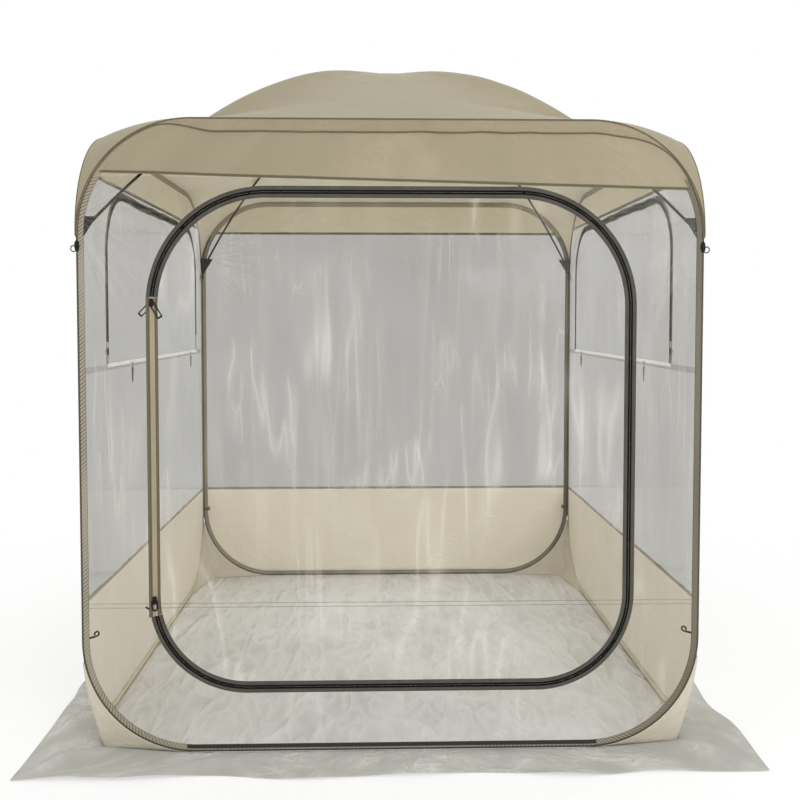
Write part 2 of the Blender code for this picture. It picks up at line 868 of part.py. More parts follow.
def hoop_skin(x, y):
    """Height of cloth drawn straight across a corner from hoop to hoop."""
    edge, radius = half_width + gap, hoop_radius + gap
    reach = abs(x) + abs(y) - (2 * edge - radius)
    bend = min(max(reach / radius, 0), 1)
    return arc_top_level + radius * math.sqrt(1 - bend * bend)


def canopy_height(x, y):
    """The taut roof: from the hoops' tops up to the crown, lifted along the two rods."""
    edge, radius = half_width + gap, hoop_radius + gap
    far, near = max(abs(x), abs(y)), min(abs(x), abs(y))
    share = far / edge
    level = arc_top_level + radius
    rise = crown_height + canopy_rod_cover - level
    middle = level + rise * (1 - share) * (1 + canopy_belly_share * share)
    corner = hoop_skin(far, far) + rise * (1 - share) ** canopy_rise_power
    corner = max(corner, rod_height(math.sqrt(2) * far) + canopy_rod_cover)
    if far == 0:
        return corner + canopy_crown_lift
    across = near / far
    edge_shape = (level - hoop_skin(near / share, edge)) / radius
    weight = share**canopy_edge_power
    crown = canopy_crown_lift * max(1 - far / canopy_crown_reach, 0) ** 2
    return middle + (corner - middle) * ((1 - weight) * across**2 + weight * edge_shape) + crown


def make_canopy():
    """The roof cloth: a grid shaped over hoops and rods, turned down over the sleeves as an apron."""
    steps = 2 * (canopy_flat_steps + canopy_arc_steps)
    bpy.ops.mesh.primitive_grid_add(x_subdivisions=steps, y_subdivisions=steps, size=2)
    made = bpy.context.object
    made.name = "roof_canopy"
    for home in list(made.users_collection):
        home.objects.unlink(made)
    parts.objects.link(made)
    shape = bmesh.new()
    shape.from_mesh(made.data)
    for vert in shape.verts:
        x, y = canopy_place(vert.co.x), canopy_place(vert.co.y)
        vert.co = (x, y, canopy_height(x, y))
    for face in list(shape.faces):
        reach = sorted(face.verts, key=lambda vert: abs(vert.co.x) + abs(vert.co.y))
        bmesh.utils.face_split(face, reach[0], reach[-1])
    edges = [edge for edge in shape.edges if edge.is_boundary]
    skirt = bmesh.ops.extrude_edge_only(shape, edges=edges)
    bend_centre = half_width + gap - hoop_radius - gap
    for vert in [item for item in skirt["geom"] if isinstance(item, bmesh.types.BMVert)]:
        x, y, z = vert.co
        on_front, on_side = abs(abs(y) - half_width - gap) < gap, abs(abs(x) - half_width - gap) < gap
        if on_front and on_side:
            vert.co.z -= canopy_bend_apron
            continue
        along = x if on_front else y
        inward = max(abs(along) - bend_centre, 0) / (hoop_radius + gap)
        drop = math.sqrt(max(1 - inward * inward, 0))
        apron = canopy_bend_apron + (canopy_apron - canopy_bend_apron) * drop**4
        moved = along - math.copysign(apron * inward, along)
        if on_front:
            vert.co.x = moved
        else:
            vert.co.y = moved
        vert.co.z -= apron * drop
    bmesh.ops.recalc_face_normals(shape, faces=shape.faces)
    top = max(shape.faces, key=lambda face: face.calc_center_median().z)
    if top.normal.z < 0:
        bmesh.ops.reverse_faces(shape, faces=shape.faces)
    shape.to_mesh(made.data)
    shape.free()
    made.data.materials.append(roof_cloth)
    cloth = made.modifiers.new("cloth", "SOLIDIFY")
    cloth.thickness = canopy_thickness
    cloth.offset = 1
    cloth.use_even_offset = True
    return made


def strip_mesh(name, rows, thickness, offset, material, closed=False):
    """Cloth through rows of points, given its thickness."""
    shape = bmesh.new()
    grid = [[shape.verts.new(point) for point in row] for row in rows]
    following = grid[1:] + (grid[:1] if closed else [])
    for near, far in zip(grid, following):
        for a, b, c, d in zip(near, near[1:], far[1:], far):
            shape.faces.new((a, b, c, d))
    bmesh.ops.recalc_face_normals(shape, faces=shape.faces)
    mesh = bpy.data.meshes.new(name)
    shape.to_mesh(mesh)
    shape.free()
    made = bpy.data.objects.new(name, mesh)
    parts.objects.link(made)
    made.data.materials.append(material)
    cloth = made.modifiers.new("cloth", "SOLIDIFY")
    cloth.thickness = thickness
    cloth.offset = offset
    cloth.use_even_offset = True
    return made


def make_gussets():
    """Cloth between two hoops' lower bends, drawn down to the floor's corner."""
    side_arc, front_arc = side_half_width - hoop_radius, half_width - hoop_radius
    reach = hoop_radius + seam_gap
    for corner, (side_x, side_y) in corner_signs.items():
        rows = []
        for step in range(gusset_steps + 1):
            bend = math.radians(90) * step / hoop_steps
            out, down = reach * math.sin(bend), reach * math.cos(bend)
            if step == 0:
                out, down = gusset_start, hoop_radius
            level = arc_low_level - down
            fold_share = math.sin(math.radians(90) * (level - ground_clear) / hoop_radius)
            fold = half_width - floor_corner_inset * (1 - fold_share)
            front = (front_arc + out, wall_plane)
            side = (wall_plane, side_arc + out)
            middle = [((front[0] + fold) / 2, (front[1] + fold) / 2), (fold, fold)]
            middle += [((side[0] + fold) / 2, (side[1] + fold) / 2)]
            rows.append([(side_x * x, side_y * y, level) for x, y in [front] + middle + [side]])
        strip_mesh("corner_gusset_" + corner, rows, gusset_thickness, 0, band_cloth)


def floor_loop(spread):
    """The floor's outline: a square whose corners are drawn in by the gussets."""
    edge, start = half_width + spread, half_width - hoop_radius
    fold = half_width - floor_corner_inset + gusset_thickness + spread
    quarter = [(start, -edge), (fold, -fold), (edge, -start)]
    loop = []
    for turn in range(4):
        cosine, sine = (1, 0, -1, 0)[turn], (0, 1, 0, -1)[turn]
        loop += [(x * cosine - y * sine, x * sine + y * cosine) for x, y in quarter]
    return loop


def make_floor():
    sheet("floor_sheet", [floor_loop(0)], 0, floor_thickness, Matrix(), floor_cloth)


def divided(points, counts):
    """Points along a run of straight pieces, each piece cut into its own number of steps."""
    made = []
    for (a, b), count in zip(zip(points, points[1:]), counts):
        for step in range(count):
            made.append(tuple(p + (q - p) * step / count for p, q in zip(a, b)))
    return made


def make_skirt():
    """The ground flap: laid flat round the floor, rippled towards a wandering hem."""
    edge, start = half_width + gap, half_width - hoop_radius
    fold = half_width - floor_corner_inset + gusset_thickness + gap
    corners = [(-fold, -fold), (-start, -edge), (start, -edge), (fold, -fold)]
    inner = divided(corners, (skirt_corner_steps, skirt_middle_steps, skirt_corner_steps))
    outer_edge = half_width + skirt_width
    rows = []
    for turn in range(4):
        cosine, sine = (1, 0, -1, 0)[turn], (0, 1, 0, -1)[turn]
        for step, near in enumerate(inner):
            share = step / len(inner)
            wave = math.radians(360) * share
            side = turn % 2
            wander = skirt_wander * (math.sin(3 * wave + side) - math.sin(5 * wave + 2 * side) / 2)
            far = (outer_edge * (2 * share - 1), -outer_edge - wander * math.sin(wave / 2))
            ripple = skirt_ripple * (1 + math.sin(4 * wave + 2 * turn) * math.cos(2 * wave + turn)) / 2
            row = []
            for place_in_row in range(skirt_rows + 1):
                out = place_in_row / skirt_rows
                x, y = near[0] + out * (far[0] - near[0]), near[1] + out * (far[1] - near[1])
                lift = ripple * math.sin(math.radians(90) * out) * (1 + math.cos(3 * wave + out * 4)) / 2
                row.append((x * cosine - y * sine, x * sine + y * cosine, lift))
            rows.append(row)
    made = strip_mesh("ground_skirt", rows, skirt_thickness, 1, skirt_cloth, closed=True)
    turned_up = made.data.polygons[0].normal.z > 0
    made.modifiers["cloth"].offset = 1 if turned_up else -1


def make_hook(corner, signs):
    """A curled hook on a short strap, sewn inside the foot of a corner post."""
    side_x, side_y = signs
    name = "corner_hook_" + corner
    inward = Vector((-side_x, -side_y, 0)).normalized()
    turn = math.atan2(inward.y, inward.x)
    far = corner_inside - hook_strap_width / 2 / math.sqrt(2) - gap
    start = Vector((side_x * far, side_y * far, hook_height))
    matrix = Matrix.Translation(start) @ Matrix.Rotation(turn, 4, "Z")
    strap = block(
        name,
        (hook_strap_length, hook_strap_width, hook_strap_thickness),
        (hook_strap_length / 2, 0, 0),
        matrix,
        black_plastic,
    )
    reach = hook_strap_length + hook_shank
    points = [(hook_strap_length - hook_shank, 0, 0)]
    for step in range(hook_steps + 1):
        bend = math.radians(-90 + hook_turn * step / hook_steps)
        points.append((reach + hook_radius * math.cos(bend), 0, hook_radius * (1 + math.sin(bend))))
    wire = tube(name + "_wire", points, hook_wire, 1, black_plastic, helpers)
    wire.matrix_world = matrix
    combine(strap, [as_mesh(wire)], "UNION")


make_hoops()
make_walls()
make_door()
make_door_sliders()
for side_wall in ("right", "left"):
    make_window(side_wall)
    for spot, along in (("front", toggle_front), ("back", toggle_back)):
        make_toggle(f"{side_wall}_toggle_{spot}", side_wall, along)
make_rods()
make_pockets()
make_canopy()
make_gussets()
make_floor()
make_skirt()
for corner_name, corner_sides in corner_signs.items():
    make_hook(corner_name, corner_sides)
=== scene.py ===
import json
import math

import bmesh
import bpy
from mathutils import Euler, Matrix, Vector, noise

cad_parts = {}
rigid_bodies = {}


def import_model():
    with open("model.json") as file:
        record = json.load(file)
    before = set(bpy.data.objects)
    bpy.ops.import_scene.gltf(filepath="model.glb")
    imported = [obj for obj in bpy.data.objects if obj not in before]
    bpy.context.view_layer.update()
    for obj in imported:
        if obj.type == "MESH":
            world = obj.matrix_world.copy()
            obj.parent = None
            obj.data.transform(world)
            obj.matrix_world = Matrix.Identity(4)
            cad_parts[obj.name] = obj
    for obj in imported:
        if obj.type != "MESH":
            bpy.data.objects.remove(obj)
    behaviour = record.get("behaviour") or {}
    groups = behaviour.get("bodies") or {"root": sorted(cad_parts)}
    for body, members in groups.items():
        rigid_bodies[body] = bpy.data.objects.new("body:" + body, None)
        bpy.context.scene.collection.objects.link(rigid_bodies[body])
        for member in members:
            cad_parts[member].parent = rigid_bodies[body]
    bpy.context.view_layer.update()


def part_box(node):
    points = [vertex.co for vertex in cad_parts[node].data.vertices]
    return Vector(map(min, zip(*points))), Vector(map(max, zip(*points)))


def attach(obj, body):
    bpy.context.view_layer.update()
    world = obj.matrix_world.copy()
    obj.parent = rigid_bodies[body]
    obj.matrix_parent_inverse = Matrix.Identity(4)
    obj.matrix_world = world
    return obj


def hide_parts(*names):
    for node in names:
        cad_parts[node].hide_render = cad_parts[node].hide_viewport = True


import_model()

print("clear tent: frame loaded")

# the camera stands a little left of the door's middle and looks in through the front
cameraSetup = {
    "place": (-0.045, -3.45, 1.26),
    "focalPixels": 887,
    "imagePixels": 800,
    "horizonRow": 320,
    "turnDegrees": 1.47,
    "tiltDegrees": 2.4,
}


def addObject(name, data):
    thing = bpy.data.objects.new(name, data)
    bpy.context.scene.collection.objects.link(thing)
    return thing


def makeCamera():
    setup = cameraSetup
    lens = bpy.data.cameras.new("photoCamera")
    camera = addObject("photoCamera", lens)
    lens.sensor_width = 36
    lens.lens = 36 * setup["focalPixels"] / setup["imagePixels"]
    tilt = math.radians(setup["tiltDegrees"])
    levelRow = setup["imagePixels"] / 2 - setup["focalPixels"] * math.tan(tilt)
    lens.shift_y = (setup["horizonRow"] - levelRow) / setup["imagePixels"]
    lens.clip_end = 60
    camera.location = setup["place"]
    camera.rotation_euler = Euler((math.radians(90) - tilt, 0, -math.radians(setup["turnDegrees"])))
    bpy.context.scene.camera = camera


makeCamera()

# sizes that the dressed pieces share with the frame, in metres
tent = {
    "plane": 0.8979,
    "frontHalf": 0.900,
    "sideHalf": 0.8955,
    "low": 0.0013,
    "high": 1.8313,
    "radius": 0.330,
    "sleeveWidth": 0.022,
    "hem": {"front": 1.655, "right": 1.690, "back": 1.675, "left": 1.690},
    "lowerBandTop": 0.440,
}
turns = {"front": 0, "right": 90, "back": 180, "left": 270}
corners = {"front_left": (-1, -1), "front_right": (1, -1), "back_left": (-1, 1), "back_right": (1, 1)}


def srgb(red, green, blue):
    def linear(value):
        value /= 255
        return value / 12.92 if value <= 0.04045 else ((value + 0.055) / 1.055) ** 2.4
    return (linear(red), linear(green), linear(blue), 1.0)


# node groups

def newGroup(name, inputs, outputs):
    group = bpy.data.node_groups.new(name, "ShaderNodeTree")
    for label, kind, value in inputs:
        socket = group.interface.new_socket(label, in_out="INPUT", socket_type=kind)
        if value is not None:
            socket.default_value = value
    for label, kind in outputs:
        group.interface.new_socket(label, in_out="OUTPUT", socket_type=kind)
    return group, group.nodes.new("NodeGroupInput"), group.nodes.new("NodeGroupOutput")


def addNode(tree, kind, settings=None, **inputs):
    node = tree.nodes.new(kind)
    for name, value in (settings or {}).items():
        setattr(node, name, value)
    for name, value in inputs.items():
        key = int(name[1:]) if name[0] == "i" and name[1:].isdigit() else name.replace("_", " ")
        if hasattr(value, "is_output"):
            tree.links.new(value, node.inputs[key])
        else:
            node.inputs[key].default_value = value
    return node


def math1(tree, operation, first, second=0.0, third=0.0):
    node = addNode(tree, "ShaderNodeMath", {"operation": operation}, i0=first, i1=second, i2=third)
    return node.outputs[0]


def times(tree, first, second):
    return math1(tree, "MULTIPLY", first, second)


def scaledAdd(tree, value, scale, added):
    return math1(tree, "MULTIPLY_ADD", value, scale, added)


def noiseAt(tree, place, scale=1.0, detail=2.0, **more):
    node = addNode(tree, "ShaderNodeTexNoise", Vector=place, Scale=scale, Detail=detail, **more)
    return node.outputs["Fac"]


def eased(tree, value, low, high, **ends):
    # a smooth step that starts at low and ends at high
    node = addNode(tree, "ShaderNodeMapRange", {"interpolation_type": "SMOOTHSTEP"}, Value=value,
                   From_Min=low, From_Max=high, **ends)
    return node.outputs[0]


def giveBump(tree, shader, strength, distance, height):
    bump = addNode(tree, "ShaderNodeBump", Strength=strength, Distance=distance, Height=height)
    tree.links.new(bump.outputs[0], shader.inputs["Normal"])


def makeWeaveGroup():
    # plain weave from two crossed waves, read in metres along the cloth
    group, source, out = newGroup(
        "plainWeave",
        [("Vector", "NodeSocketVector", None), ("Threads", "NodeSocketFloat", 2200.0)],
        [("Height", "NodeSocketFloat"), ("Shade", "NodeSocketFloat")],
    )
    parted = addNode(group, "ShaderNodeSeparateXYZ", Vector=source.outputs["Vector"])
    turnsPerMetre = times(group, source.outputs["Threads"], math.pi)
    waves = []
    for axis in ("X", "Y"):
        angle = times(group, parted.outputs[axis], turnsPerMetre)
        waves.append(math1(group, "SINE", angle))
    crossed = times(group, waves[0], waves[1])
    group.links.new(scaledAdd(group, crossed, 0.5, 0.5), out.inputs["Height"])
    group.links.new(scaledAdd(group, crossed, 0.06, 0.97), out.inputs["Shade"])
    return group


def makeCreaseGroup():
    # soft folds with sharper ridges here and there, as in cloth or film that was packed small
    group, source, out = newGroup(
        "packedCreases",
        [
            ("Vector", "NodeSocketVector", None),
            ("Scale", "NodeSocketFloat", 4.0),
            ("Sharpness", "NodeSocketFloat", 4.0),
            ("Reach", "NodeSocketFloat", 0.5),
        ],
        [("Height", "NodeSocketFloat"), ("Ridge", "NodeSocketFloat"), ("SoftFolds", "NodeSocketFloat")],
    )
    scale = source.outputs["Scale"]
    soft = noiseAt(group, source.outputs["Vector"], scale, 3.0, Roughness=0.55, Distortion=0.8)
    fineScale = times(group, scale, 3.1)
    fine = noiseAt(group, source.outputs["Vector"], fineScale, 2.0, Roughness=0.5, Distortion=1.6)
    centred = scaledAdd(group, fine, 2.0, -1.0)
    folded = math1(group, "SUBTRACT", 1.0, math1(group, "ABSOLUTE", centred))
    ridge = math1(group, "POWER", folded, times(group, source.outputs["Sharpness"], 3.0))
    kept = times(group, ridge, eased(group, soft, 0.42, 0.68))
    reached = times(group, kept, source.outputs["Reach"])
    group.links.new(math1(group, "ADD", soft, reached), out.inputs["Height"])
    group.links.new(kept, out.inputs["Ridge"])
    group.links.new(soft, out.inputs["SoftFolds"])
    return group


def makeStitchGroup():
    # a row of short stitches along X at a set place across Y
    group, source, out = newGroup(
        "stitchRow",
        [
            ("Vector", "NodeSocketVector", None),
            ("Place", "NodeSocketFloat", 0.002),
            ("Pitch", "NodeSocketFloat", 0.0032),
            ("Width", "NodeSocketFloat", 0.0005),
        ],
        [("Mask", "NodeSocketFloat")],
    )
    parted = addNode(group, "ShaderNodeSeparateXYZ", Vector=source.outputs["Vector"])
    away = math1(group, "ABSOLUTE", math1(group, "SUBTRACT", parted.outputs["Y"], source.outputs["Place"]))
    onRow = math1(group, "LESS_THAN", away, source.outputs["Width"])
    step = math1(group, "FRACT", math1(group, "DIVIDE", parted.outputs["X"], source.outputs["Pitch"]))
    onStitch = math1(group, "LESS_THAN", step, 0.68)
    group.links.new(times(group, onRow, onStitch), out.inputs["Mask"])
    return group


def ridged(tree, value, power):
    # thin lines where a noise passes its middle
    centred = scaledAdd(tree, value, 2.0, -1.0)
    return math1(tree, "POWER", math1(tree, "SUBTRACT", 1.0, math1(tree, "ABSOLUTE", centred)), power)


# each set of lines: scale across, scale up, turn in degrees
streakLook = {"lines": (9.0, 0.5, 2), "glints": (17.0, 0.8, 4), "folds": (7.0, 1.0, -28),
              "small": (6.0, 1.5, 0),
              "linePower": 9.0, "glintPower": 14.0, "foldPower": 14.0, "fanPower": 11.0,
              "lineShare": 0.16, "glintShare": 0.3, "foldShare": 0.4,
              "bendAcross": 0.90, "bendUp": 1.56, "fanFrom": 0.55, "fanTo": 0.10}


def makeStreakGroup():
    # the pale glints of stretched film: upright lines in patches, and fans that run out of the hoops' bends
    look = streakLook
    group, source, out = newGroup(
        "filmStreaks",
        [
            ("Vector", "NodeSocketVector", None),
            ("Upright", "NodeSocketFloat", 0.6),
            ("Fans", "NodeSocketFloat", 1.0),
            ("Seed", "NodeSocketFloat", 0.0),
        ],
        [("Streak", "NodeSocketFloat"), ("Height", "NodeSocketFloat"), ("Haze", "NodeSocketFloat")],
    )
    seed, strength = source.outputs["Seed"], source.outputs["Upright"]
    lift = addNode(group, "ShaderNodeCombineXYZ", X=seed, Y=times(group, seed, 0.37))
    moved = addNode(group, "ShaderNodeVectorMath", {"operation": "ADD"}, i0=source.outputs["Vector"],
                    i1=lift.outputs[0]).outputs[0]

    def drawn(kind, detail, **more):
        across, up, turn = look[kind]
        node = addNode(group, "ShaderNodeMapping", Vector=moved, Scale=(across, up, 1.0),
                       Rotation=(0, 0, math.radians(turn)))
        return noiseAt(group, node.outputs[0], 1.0, detail, **more)

    lines = drawn("lines", 2.0, Roughness=0.5, Distortion=0.1)
    glints = drawn("glints", 1.0, Roughness=0.5, Distortion=0.05)
    folds = drawn("folds", 2.0, Roughness=0.5, Distortion=0.1)
    patches = noiseAt(group, moved, 1.9, 1.0)
    patch = eased(group, patches, 0.40, 0.66)
    rare = eased(group, drawn("small", 1.0), 0.58, 0.72)
    other = eased(group, patches, 0.52, 0.36)
    upright = times(group, ridged(group, lines, look["linePower"]), patch)
    upright = times(group, upright, look["lineShare"])
    glint = times(group, ridged(group, glints, look["glintPower"]), rare)
    glint = times(group, glint, look["glintShare"])
    upright = times(group, math1(group, "ADD", upright, glint), strength)
    slant = times(group, ridged(group, folds, look["foldPower"]), other)
    slant = times(group, slant, times(group, strength, look["foldShare"]))
    # fans from the upper bends of the wall's hoop
    parted = addNode(group, "ShaderNodeSeparateXYZ", Vector=source.outputs["Vector"])
    across = math1(group, "SUBTRACT", look["bendAcross"], math1(group, "ABSOLUTE", parted.outputs["X"]))
    up = math1(group, "SUBTRACT", parted.outputs["Y"], look["bendUp"])
    angle = math1(group, "ARCTAN2", up, across)
    squares = math1(group, "ADD", times(group, across, across), times(group, up, up))
    reach = math1(group, "SQRT", squares)
    spokes = addNode(group, "ShaderNodeCombineXYZ", X=times(group, angle, 9.0), Y=times(group, reach, 1.4),
                     Z=seed)
    fan = noiseAt(group, spokes.outputs[0], 1.0, 3.0, Roughness=0.65, Distortion=0.25)
    fade = eased(group, reach, look["fanFrom"], look["fanTo"])
    fans = times(group, ridged(group, fan, look["fanPower"]), fade)
    fans = times(group, fans, patch)
    fans = times(group, fans, source.outputs["Fans"])
    streak = math1(group, "ADD", math1(group, "ADD", upright, slant), fans)
    clamped = addNode(group, "ShaderNodeClamp", Value=streak)
    group.links.new(clamped.outputs[0], out.inputs["Streak"])
    height = scaledAdd(group, lines, 0.4, folds)
    group.links.new(scaledAdd(group, fan, 0.5, height), out.inputs["Height"])
    group.links.new(patches, out.inputs["Haze"])
    return group


weaveGroup = makeWeaveGroup()
creaseGroup = makeCreaseGroup()
stitchGroup = makeStitchGroup()
streakGroup = makeStreakGroup()
print("clear tent: node groups made")


# materials

def newMaterial(name):
    material = bpy.data.materials.new(name)
    material.use_nodes = True
    tree = material.node_tree
    return material, tree, tree.nodes["Principled BSDF"]


def useGroup(tree, group, **inputs):
    node = tree.nodes.new("ShaderNodeGroup")
    node.node_tree = group
    for name, value in inputs.items():
        if hasattr(value, "is_output"):
            tree.links.new(value, node.inputs[name])
        else:
            node.inputs[name].default_value = value
    return node


def mixColour(tree, factor, first, second, blend="MIX"):
    node = tree.nodes.new("ShaderNodeMix")
    node.data_type = "RGBA"
    node.blend_type = blend
    for index, value in ((0, factor), (6, first), (7, second)):
        if hasattr(value, "is_output"):
            tree.links.new(value, node.inputs[index])
        else:
            node.inputs[index].default_value = value
    return node.outputs[2]


def coordinates(tree, kind="UV"):
    return tree.nodes.new("ShaderNodeTexCoord").outputs[kind]


def clothMaterial(name, look):
    # woven polyester: weave, packed creases with painted shade in their hollows and a painted highlight along
    # their ridges, and optional stitch rows and edge stripes
    material, tree, shader = newMaterial(name)
    place = coordinates(tree, "UV")
    weave = useGroup(tree, weaveGroup, Vector=place, Threads=look.get("threads", 2200.0))
    crease = useGroup(tree, creaseGroup, Vector=place, Scale=look.get("creaseScale", 5.0),
                      Sharpness=look.get("sharpness", 4.0), Reach=look.get("creaseReach", 0.5))
    light, dark = look["light"], look["dark"]
    # painted shade: dark in the folds' hollows and light on their crowns, from the same soft noise that gives
    # the folds their height
    colour = mixColour(tree, crease.outputs["SoftFolds"], dark, light)
    # painted highlight: paler along the crease ridges
    colour = mixColour(tree, look.get("ridgeShare", 0.25), colour,
                       mixColour(tree, crease.outputs["Ridge"], colour, look.get("ridge", light)))
    shade = tree.nodes.new("ShaderNodeCombineColor")
    for index in range(3):
        tree.links.new(weave.outputs["Shade"], shade.inputs[index])
    colour = mixColour(tree, 1.0, colour, shade.outputs[0], "MULTIPLY")
    if "edges" in look:
        parted = addNode(tree, "ShaderNodeSeparateXYZ", Vector=place)
        for low, high in look["edges"]:
            above = math1(tree, "GREATER_THAN", parted.outputs["Y"], low)
            below = math1(tree, "LESS_THAN", parted.outputs["Y"], high)
            colour = mixColour(tree, times(tree, above, below), colour, look["edgeColour"])
    height = times(tree, weave.outputs["Height"], look.get("weaveDepth", 0.03))
    height = scaledAdd(tree, crease.outputs["Height"], look.get("creaseDepth", 1.0), height)
    for row in look.get("stitches", ()):
        stitch = useGroup(tree, stitchGroup, Vector=place, Place=row)
        colour = mixColour(tree, stitch.outputs["Mask"], colour, look["thread"])
        height = math1(tree, "ADD", height, times(tree, stitch.outputs["Mask"], 0.15))
    tree.links.new(colour, shader.inputs["Base Color"])
    rough = scaledAdd(tree, crease.outputs["SoftFolds"], 0.16, look.get("roughness", 0.66))
    tree.links.new(rough, shader.inputs["Roughness"])
    giveBump(tree, shader, look.get("bump", 0.5), look.get("distance", 0.006), height)
    shader.inputs["Sheen Weight"].default_value = look.get("sheen", 0.12)
    shader.inputs["Specular IOR Level"].default_value = look.get("specular", 0.35)
    return material


clothLooks = {
    "roofCloth": {"light": srgb(156, 145, 116), "dark": srgb(140, 130, 102),
                  "ridge": srgb(168, 158, 130),
                  "creaseScale": 1.7, "sharpness": 2.0, "distance": 0.009, "roughness": 0.6},
    "upperBandCloth": {"light": srgb(164, 153, 128), "dark": srgb(138, 129, 104),
                       "ridge": srgb(176, 166, 142),
                       "creaseScale": 1.9, "sharpness": 1.8, "distance": 0.011, "roughness": 0.6},
    # a much lighter copy of the roof and band cloth for their inner faces: painted light, standing in for
    # light that shines through the cloth
    "innerLitCloth": {"light": srgb(238, 230, 208), "dark": srgb(220, 210, 184),
                   "ridge": srgb(248, 242, 226),
                   "creaseScale": 4.0, "distance": 0.010, "roughness": 0.6},
    "eaveCloth": {"light": srgb(158, 146, 120), "dark": srgb(136, 126, 102), "creaseScale": 9.0,
                  "stitches": (0.003, 0.034), "thread": srgb(120, 110, 88)},
    "lowerBandCloth": {"light": srgb(242, 236, 220), "dark": srgb(228, 219, 199),
                       "ridge": srgb(249, 245, 234),
                       "creaseScale": 3.0, "distance": 0.009},
    "gussetCloth": {"light": srgb(230, 223, 206), "dark": srgb(190, 180, 158), "creaseScale": 9.0,
                    "distance": 0.009},
    "bindingCloth": {"light": srgb(102, 96, 72), "dark": srgb(84, 78, 56), "creaseScale": 20.0,
                     "threads": 1400.0, "stitches": (0.0018, 0.0072), "thread": srgb(130, 123, 98)},
    "pipingCloth": {"light": srgb(118, 104, 78), "dark": srgb(90, 78, 56), "creaseScale": 40.0,
                    "creaseReach": 0.9},
    "paleBinding": {"light": srgb(196, 192, 176), "dark": srgb(172, 168, 150), "creaseScale": 16.0,
                    "stitches": (0.0015, 0.0075), "thread": srgb(150, 146, 130)},
    "tabCloth": {"light": srgb(150, 142, 128), "dark": srgb(124, 117, 104), "creaseScale": 20.0,
                 "stitches": (0.004,), "thread": srgb(90, 84, 74)},
    "zipTapeCloth": {"sheen": 0.0, "specular": 0.1, "light": srgb(90, 88, 80), "dark": srgb(66, 65, 59),
                     "creaseScale": 24.0,
                     "threads": 1100.0, "weaveDepth": 0.12, "distance": 0.002,
                     "stitches": (0.0030,), "thread": srgb(50, 49, 46), "edges": ((0.0119, 0.0150),),
                     "edgeColour": srgb(14, 14, 14)},
    "windowTapeCloth": {"sheen": 0.0, "specular": 0.1, "light": srgb(28, 27, 27), "dark": srgb(15, 14, 15),
                        "creaseScale": 22.0,
                        "threads": 1100.0, "weaveDepth": 0.12, "distance": 0.002,
                        "stitches": (0.0025,), "thread": srgb(84, 80, 76)},
    # the skirt's wide span from dark to light and its pale ridges are painted shade and highlight of its
    # ruffles
    "skirtCloth": {"light": srgb(224, 223, 216), "dark": srgb(166, 165, 157), "ridge": srgb(244, 243, 238),
                   "ridgeShare": 0.6, "creaseScale": 5.0, "sharpness": 2.2, "distance": 0.022, "bump": 0.8},
    "blackWebbing": {"sheen": 0.0, "specular": 0.1, "light": srgb(44, 43, 44), "dark": srgb(26, 25, 26),
                     "creaseScale": 30.0,
                     "threads": 700.0, "weaveDepth": 0.3, "distance": 0.0015},
}
cloth = {name: clothMaterial(name, look) for name, look in clothLooks.items()}

# the dark tint, with the high cover of the walls and windows below, is painted shade: it greys the clear film
# as a shaded room behind it would
filmLook = {"colour": srgb(88, 85, 68), "streak": srgb(236, 234, 222), "weld": srgb(104, 102, 92),
            "roughness": 0.09, "distance": 0.003, "weldWidth": 0.0011, "weldAlpha": 0.42, "lightPass": 0.88}


def filmMaterial(name, alpha, streakAlpha, upright=0.6, fans=1.0, seed=0.0, weldRows=(), colour=None):
    # clear vinyl: mostly see-through, with a dark tint of painted shade, pale glints where it is drawn tight,
    # and optional weld rows
    material, tree, shader = newMaterial(name)
    streaks = useGroup(tree, streakGroup, Vector=coordinates(tree, "UV"), Upright=upright, Fans=fans,
                       Seed=seed)
    streak = streaks.outputs["Streak"]
    pale = addNode(tree, "ShaderNodeClamp", Value=times(tree, streak, 2.0))
    tint = mixColour(tree, pale.outputs[0], colour or filmLook["colour"], filmLook["streak"])
    cover = scaledAdd(tree, streak, streakAlpha, alpha)
    cover = math1(tree, "ADD", cover, scaledAdd(tree, streaks.outputs["Haze"], 0.12, -0.06))
    if weldRows:
        parted = addNode(tree, "ShaderNodeSeparateXYZ", Vector=coordinates(tree, "Object"))
        for level in weldRows:
            away = math1(tree, "ABSOLUTE", math1(tree, "SUBTRACT", parted.outputs["Z"], level))
            line = math1(tree, "LESS_THAN", away, filmLook["weldWidth"])
            tint = mixColour(tree, line, tint, filmLook["weld"])
            cover = scaledAdd(tree, line, filmLook["weldAlpha"], cover)
    tree.links.new(tint, shader.inputs["Base Color"])
    path = tree.nodes.new("ShaderNodeLightPath")
    passing = math1(tree, "MAXIMUM", path.outputs["Is Shadow Ray"], path.outputs["Is Diffuse Ray"])
    kept = scaledAdd(tree, passing, -filmLook["lightPass"], 1.0)
    tree.links.new(times(tree, cover, kept), shader.inputs["Alpha"])
    rough = scaledAdd(tree, streak, 0.2, filmLook["roughness"])
    tree.links.new(rough, shader.inputs["Roughness"])
    giveBump(tree, shader, 0.5, filmLook["distance"], streaks.outputs["Height"])
    return material


weldRows = (0.427, 0.439)
frontFilm = filmMaterial("frontFilm", 0.16, 0.32, upright=0.8, fans=0.22, seed=1.7, weldRows=weldRows)
doorFilm = filmMaterial("doorFilm", 0.16, 0.32, upright=1.0, fans=0.22, seed=5.3, weldRows=weldRows)
# walls and windows: high cover of the dark tint, painted shade
wallFilm = filmMaterial("wallFilm", 0.58, 0.34, upright=0.8, fans=0.16, seed=9.1)
windowFilm = filmMaterial("windowFilm", 0.58, 0.34, upright=0.7, fans=0.0, seed=3.9)
seamFilm = filmMaterial("seamFilm", 0.30, 0.45, upright=1.0, fans=0.0, seed=2.2, colour=srgb(214, 211, 198))


